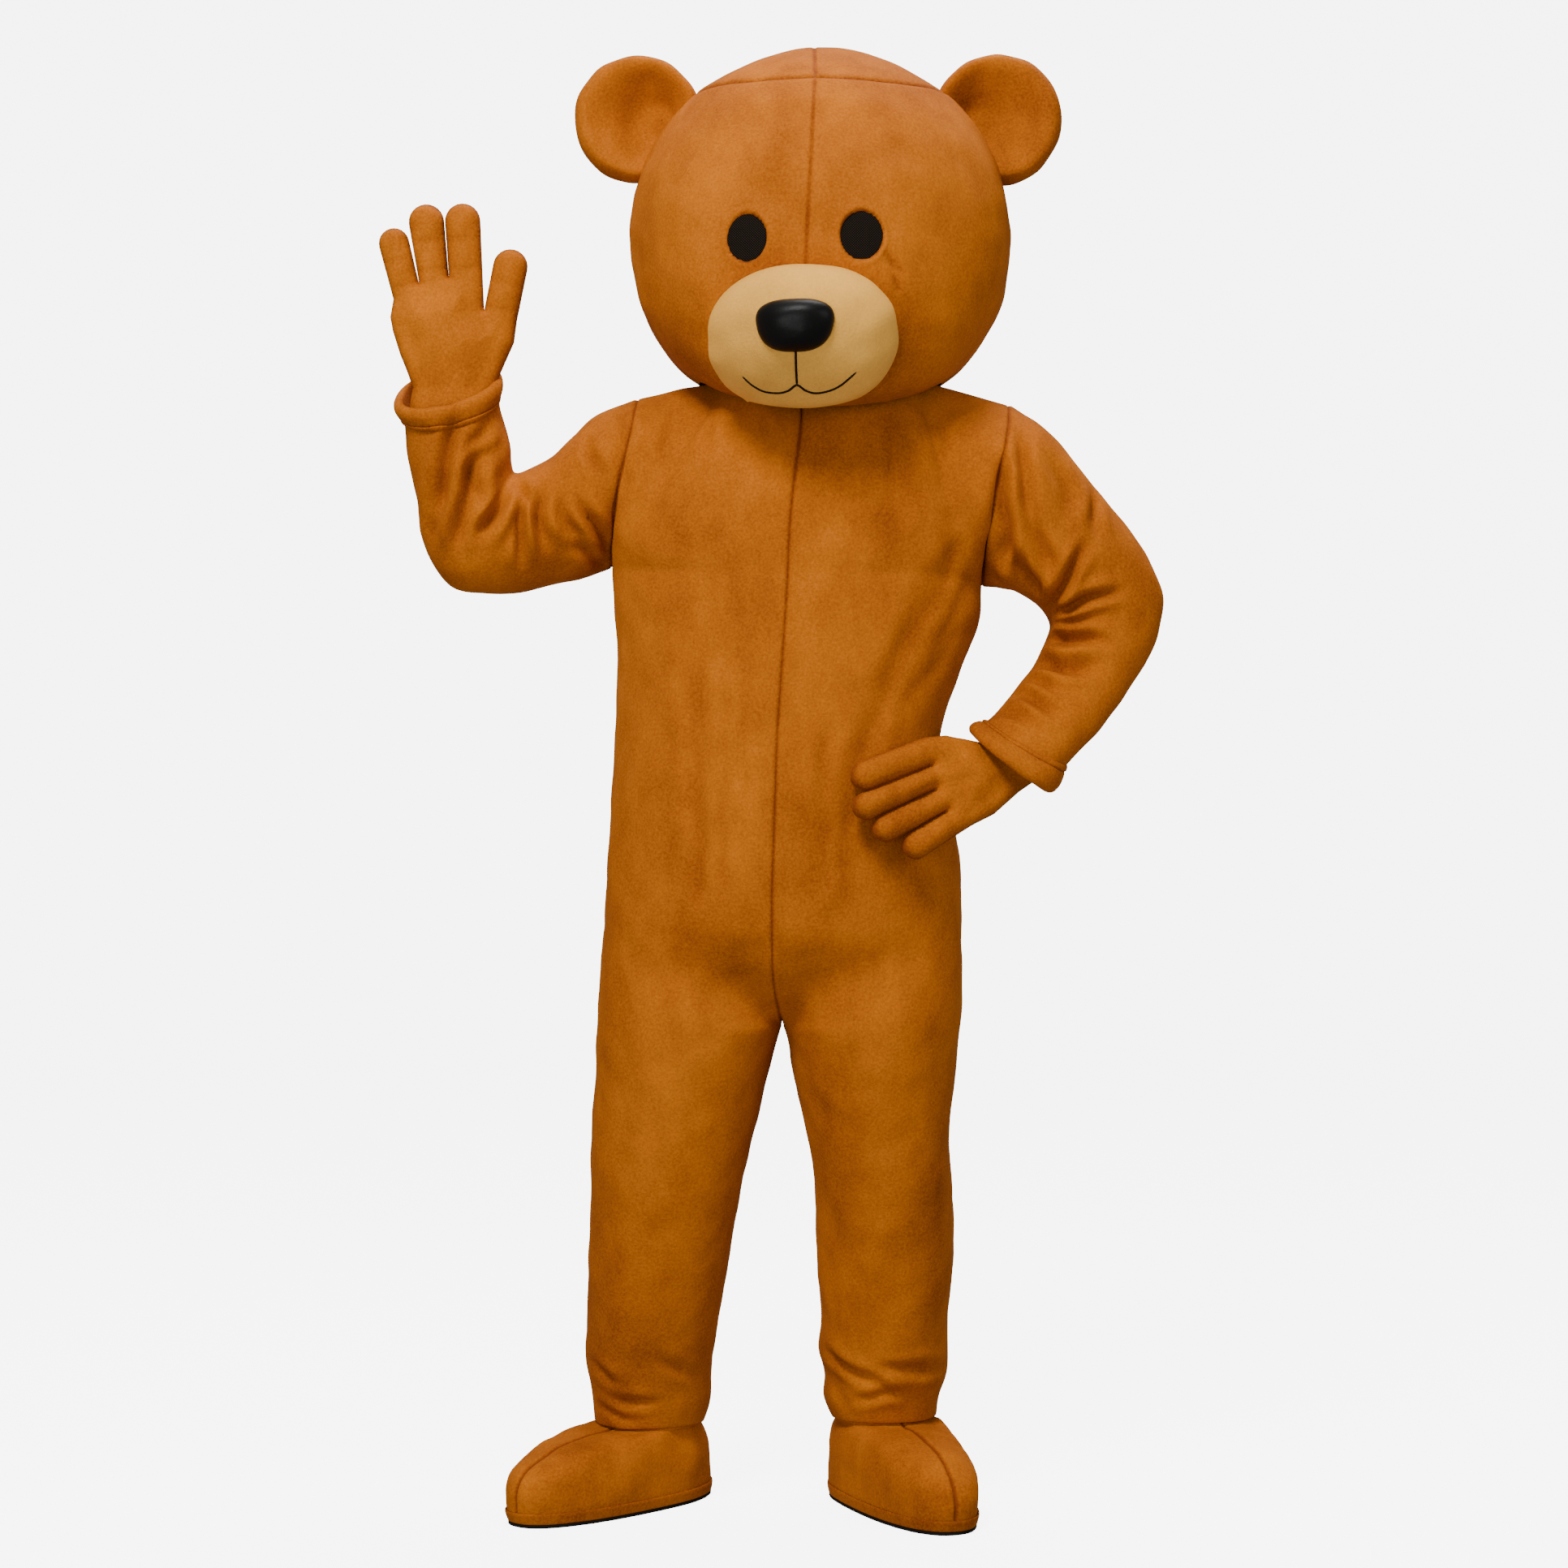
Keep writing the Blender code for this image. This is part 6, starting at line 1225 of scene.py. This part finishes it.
def build_feet(settings):
    """Foot covers: two uppers each, an edge band with its seam, and a thin sole."""
    for side, ankle, heading, toe_column, table in SHOES:
        hand = 1 if side == "left" else -1
        offsets = np.concatenate([ended(81, 0.6)[:-1] * 8, 8 + ended(81, 0.6)[:-1] * 8])
        turn = offsets * math.pi / 8 * hand
        places = (offsets + toe_column) % 16
        front = places <= 8
        u = np.where(front, places / 8, (16 - places) / 8)
        rows = [shoe_ring(ankle, heading, turn, *values) for values in table]
        for height, drop, inward in ((0.100, 0.0035, 0.0054), (0.115, 0.0, 0.0045), (0.133, 0.0, 0.0050)):
            level = np.full_like(u, height)
            level = level + hem_lift(side, level)
            ring = np.where(front[:, None], leg_point(side, "front", u, level),
                            leg_point(side, "back", u, level))
            centre = ring.mean(axis=0)
            away = ring - centre
            away[:, 2] = 0
            away /= np.linalg.norm(away, axis=1)[:, None]
            rows.append(ring - away * inward - np.array([0, 0, drop]))
        grid = smooth_rows(rows, np.linspace(0, len(rows) - 1, 8 * (len(rows) - 1) + 1))
        axis = np.array([*ankle, 0.03])
        points, faces = sheet_of(grid, lambda p: p - axis, closed=True)
        normals = joined_normals([[points, faces]])[0]
        steps = np.linalg.norm(np.roll(grid, -1, axis=1) - grid, axis=-1)
        run = np.cumsum(steps, axis=1) - steps
        total = steps.sum(axis=1)[:, None]
        toe = np.minimum(run, total - run)
        heel = np.abs(run - run[:, 80:81])
        seams = np.maximum(groove(toe, 0.0026), groove(heel, 0.0026)).reshape(-1)
        shift = seams * settings.seam_depth + ripple(points, 0.07, 51) * 0.0014
        shift += ripple(points, 0.03, 52) * 0.0004
        low = smooth_step((points[:, 2] - 0.006) / 0.02)
        points = points - normals * (shift * low)[:, None]
        columns = grid.shape[1]
        column = faces % columns
        first = (column.max(axis=1) <= 80) & (column.max(axis=1) - column.min(axis=1) < 40)
        for name, chosen in (("inner", first), ("outer", ~first)):
            used, inverse = np.unique(faces[chosen], return_inverse=True)
            own = inverse.reshape(-1, 4)
            # seams * 0.8 is painted shade in the toe and heel seams.
            add_piece("shoe_%s_%s_cloth" % (side, name), "shoe_%s_%s" % (side, name), points[used], own,
                      shared["plush"], "brown_plush", seams[used] * 0.8, UPPER_FLAT, "stretched")
        band = []
        for height, extra in BAND_PROFILE:
            share = np.clip((height - 0.0045) / 0.0135, 0, 1)
            values = np.array(table[0][1:]) * (1 - share) + np.array(table[1][1:]) * share
            band.append(shoe_ring(ankle, heading, turn, height, *values, extra=extra))
        grid = smooth_rows(band, np.linspace(0, len(band) - 1, 25))
        sheet = sheet_of(grid, lambda p: p - axis, closed=True)
        # Painted shade at the band's foot and in its seam with the upper.
        shade = np.repeat(np.interp(np.arange(25) / 4, (0, 2, 5, 6), (0.5, 0.1, 0.3, 0.95)), columns)
        add_piece("shoe_band_%s_cloth" % side, "shoe_band_" + side, *sheet, shared["plush"], "brown_plush",
                  shade, (steps[8].sum(), BAND_FLAT_HEIGHT), "stretched")
        sole = [shoe_ring(ankle, heading, turn, height, *table[0][1:], extra=extra)
                for height, extra in SOLE_PROFILE]
        sheet = sheet_of(np.array(sole), lambda p: p - np.array([*ankle, 0.002]), closed=True)
        add_piece("shoe_sole_%s_rubber" % side, "shoe_sole_" + side, *sheet, shared["sole"], "black_sole")


def box_mesh(centre, size):
    """Corners and faces of boxes of one size at many centres."""
    corner = np.array([(a, b, c) for c in (-0.5, 0.5)
                       for a, b in ((-0.5, -0.5), (0.5, -0.5), (0.5, 0.5), (-0.5, 0.5))])
    face = np.array([(0, 3, 2, 1), (4, 5, 6, 7), (0, 1, 5, 4), (1, 2, 6, 5), (2, 3, 7, 6), (3, 0, 4, 7)])
    points = (centre[:, None] + corner[None] * np.array(size)).reshape(-1, 3)
    faces = (face[None] + 8 * np.arange(len(centre))[:, None, None]).reshape(-1, 4)
    return points, faces


def build_zip(settings):
    """The centre back closure: woven tapes and two rows of teeth on the solid strip."""
    low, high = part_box("zip_strip")
    strip = bpy.data.objects[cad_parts["zip_strip"].name].data
    heights = np.linspace(high.z - 0.003, low.z + 0.003, int((high.z - low.z - 0.006) / TOOTH_PITCH))
    tree = BVHTree.FromPolygons([v.co for v in strip.vertices], [tuple(p.vertices) for p in strip.polygons])
    teeth = []
    for index, height in enumerate(heights):
        shift = TOOTH_OFFSET if index % 2 else -TOOTH_OFFSET
        hit = tree.ray_cast(Vector((ZIP_X - HELD_X + shift, 1.0, height)), Vector((0, -1, 0)))[0]
        teeth.append((ZIP_X - HELD_X + shift, hit.y + 0.0002, height))
    points, faces = box_mesh(np.array(teeth), TOOTH_SIZE)
    points = points + np.array([HELD_X, 0, HELD_HEIGHT])
    add_piece("zip_teeth", None, points, faces, shared["metal"], "zip_metal")
    for name, look in (("zip_strip", "tape"), ("zip_slider", "metal"), ("zip_pull", "metal")):
        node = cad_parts[name]
        node.data.materials.clear()
        node.data.materials.append(shared[look])


def build_stage(settings):
    """Pale floor that sweeps up behind, soft lights and the camera at the photo's place."""
    profile = [(-FLOOR_REACH, 0.0), (WALL_START, 0.0)]
    profile += [(WALL_START + WALL_SWEEP * math.sin(a), WALL_SWEEP - WALL_SWEEP * math.cos(a))
                for a in np.linspace(0.1, math.pi / 2, 16)]
    profile += [(WALL_START + WALL_SWEEP, WALL_TOP)]
    across = np.linspace(-FLOOR_REACH, FLOOR_REACH, 3)
    grid = np.array([[(x, y, z) for x in across] for y, z in profile])
    points, faces = sheet_of(grid, lambda p: np.array([0, -1.0, 1.0]))
    mesh = bpy.data.meshes.new("studio_floor")
    mesh.from_pydata(place(points).tolist(), [], faces.tolist())
    mesh.polygons.foreach_set("use_smooth", np.ones(len(mesh.polygons), bool))
    floor = bpy.data.objects.new("studio_floor", mesh)
    bpy.context.scene.collection.objects.link(floor)
    look = bpy.data.materials.new("studio_white")
    look.use_nodes = True
    shader = look.node_tree.nodes["Principled BSDF"]
    shader.inputs["Base Color"].default_value = (0.92, 0.92, 0.92, 1.0)
    shader.inputs["Roughness"].default_value = 0.9
    shader.inputs["Emission Color"].default_value = (1.0, 1.0, 1.0, 1.0)
    shader.inputs["Emission Strength"].default_value = FLOOR_GLOW
    mesh.materials.append(look)
    floor.visible_diffuse = False
    floor.visible_glossy = False
    for name, spot, size, power in LIGHTS:
        light = bpy.data.lights.new(name, "AREA")
        light.shape = "DISK"
        light.size = size
        light.energy = power * settings.light
        lamp = bpy.data.objects.new(name, light)
        lamp.location = spot
        lamp.rotation_euler = (Vector((0, 0, -0.3)) - Vector(spot)).to_track_quat("-Z", "Y").to_euler()
        bpy.context.scene.collection.objects.link(lamp)
    world = bpy.data.worlds.new("studio_world")
    world.use_nodes = True
    background = world.node_tree.nodes["Background"]
    background.inputs["Color"].default_value = (1.0, 1.0, 1.0, 1.0)
    background.inputs["Strength"].default_value = WORLD_LIGHT
    bpy.context.scene.world = world
    camera = bpy.data.cameras.new("photo_camera")
    camera.lens = CAMERA_LENS
    camera.sensor_width = CAMERA_SENSOR
    eye = bpy.data.objects.new("photo_camera", camera)
    eye.location = (-HELD_X, -CAMERA_AWAY, CAMERA_HEIGHT - HELD_HEIGHT)
    eye.rotation_euler = (math.pi / 2, 0, 0)
    bpy.context.scene.collection.objects.link(eye)
    bpy.context.scene.camera = eye


class BearCostumeSettings(bpy.types.PropertyGroup):
    """Sizes and colours of the looks."""
    plush_light: bpy.props.FloatVectorProperty(
        name="Plush light", description="Brown plush brushed towards the light", subtype="COLOR", size=3,
        default=(0.54, 0.148, 0.0035), min=0.0, max=1.0)
    # Also the colour that the painted shade in seams, creases and hollows darkens to.
    plush_dark: bpy.props.FloatVectorProperty(
        name="Plush dark", description="Brown plush brushed away from the light", subtype="COLOR", size=3,
        default=(0.20, 0.038, 0.0008), min=0.0, max=1.0)
    cream: bpy.props.FloatVectorProperty(
        name="Cream", description="Muzzle plush", subtype="COLOR", size=3, default=(0.86, 0.42, 0.068),
        min=0.0, max=1.0)
    pile_height: bpy.props.FloatProperty(
        name="Pile height", description="Height of the pile's bump", default=0.0016, min=0.0, max=0.01,
        unit="LENGTH")
    seam_depth: bpy.props.FloatProperty(
        name="Seam depth", description="How far the cloth sinks into a seam", default=0.0026, min=0.0,
        max=0.01, unit="LENGTH")
    crease_depth: bpy.props.FloatProperty(
        name="Crease depth", description="Share of each crease's depth", default=1.0, min=0.0, max=2.0)
    light: bpy.props.FloatProperty(
        name="Light", description="Share of the studio lights' power", default=1.0, min=0.0, max=5.0)


class BEAR_OT_materials(bpy.types.Operator):
    """Make the finishes of plush, leathercloth, net, cord, sole, tape and metal"""
    bl_idname = "bear.materials"
    bl_label = "Materials"

    def execute(self, context):
        build_materials(context.scene.bear_costume)
        return {"FINISHED"}


class BEAR_OT_suit(bpy.types.Operator):
    """Build the body panels and sleeves of the jumpsuit"""
    bl_idname = "bear.suit"
    bl_label = "Suit"

    def execute(self, context):
        build_suit(context.scene.bear_costume)
        return {"FINISHED"}


class BEAR_OT_cuffs(bpy.types.Operator):
    """Build the turned cuffs on the sleeves"""
    bl_idname = "bear.cuffs"
    bl_label = "Cuffs"

    def execute(self, context):
        build_cuffs(context.scene.bear_costume)
        return {"FINISHED"}


class BEAR_OT_head(bpy.types.Operator):
    """Build the four head panels with their seams and eye hollows"""
    bl_idname = "bear.head"
    bl_label = "Head"

    def execute(self, context):
        build_head(context.scene.bear_costume)
        return {"FINISHED"}


class BEAR_OT_face(bpy.types.Operator):
    """Build the eye nets, muzzle, nose and mouth"""
    bl_idname = "bear.face"
    bl_label = "Face"

    def execute(self, context):
        build_face(context.scene.bear_costume)
        return {"FINISHED"}


class BEAR_OT_ears(bpy.types.Operator):
    """Build the ear fronts and backs"""
    bl_idname = "bear.ears"
    bl_label = "Ears"

    def execute(self, context):
        build_ears(context.scene.bear_costume)
        return {"FINISHED"}


class BEAR_OT_gloves(bpy.types.Operator):
    """Build the palms and backs of both gloves"""
    bl_idname = "bear.gloves"
    bl_label = "Gloves"

    def execute(self, context):
        build_gloves(context.scene.bear_costume)
        return {"FINISHED"}


class BEAR_OT_feet(bpy.types.Operator):
    """Build the foot covers, their bands and soles"""
    bl_idname = "bear.feet"
    bl_label = "Feet"

    def execute(self, context):
        build_feet(context.scene.bear_costume)
        return {"FINISHED"}


class BEAR_OT_zip(bpy.types.Operator):
    """Build the teeth of the back zip and finish its metal"""
    bl_idname = "bear.zip"
    bl_label = "Zip"

    def execute(self, context):
        build_zip(context.scene.bear_costume)
        return {"FINISHED"}


class BEAR_OT_stage(bpy.types.Operator):
    """Build the floor, lights and camera"""
    bl_idname = "bear.stage"
    bl_label = "Stage"

    def execute(self, context):
        build_stage(context.scene.bear_costume)
        return {"FINISHED"}


STEPS = ("materials", "suit", "cuffs", "head", "face", "ears", "gloves", "feet", "zip", "stage")
OPERATORS = (BEAR_OT_materials, BEAR_OT_suit, BEAR_OT_cuffs, BEAR_OT_head, BEAR_OT_face, BEAR_OT_ears,
             BEAR_OT_gloves, BEAR_OT_feet, BEAR_OT_zip, BEAR_OT_stage)


class BEAR_PT_panel(bpy.types.Panel):
    """Sidebar panel with the settings and one button for each step."""
    bl_label = "Bear costume"
    bl_space_type = "VIEW_3D"
    bl_region_type = "UI"
    bl_category = "Bear costume"

    def draw(self, context):
        settings = context.scene.bear_costume
        for name in ("plush_light", "plush_dark", "cream", "pile_height", "seam_depth", "crease_depth",
                     "light"):
            self.layout.prop(settings, name)
        for name in STEPS:
            self.layout.operator("bear." + name)


def register():
    """Register the settings, operators and panel."""
    for item in (BearCostumeSettings, *OPERATORS, BEAR_PT_panel):
        bpy.utils.register_class(item)
    bpy.types.Scene.bear_costume = bpy.props.PointerProperty(type=BearCostumeSettings)


def unregister():
    """Undo register()."""
    del bpy.types.Scene.bear_costume
    for item in (BEAR_PT_panel, *reversed(OPERATORS), BearCostumeSettings):
        bpy.utils.unregister_class(item)


def main():
    """Build everything in order."""
    register()
    for name in STEPS:
        getattr(bpy.ops.bear, name)()


if __name__ == "__main__":
    main()
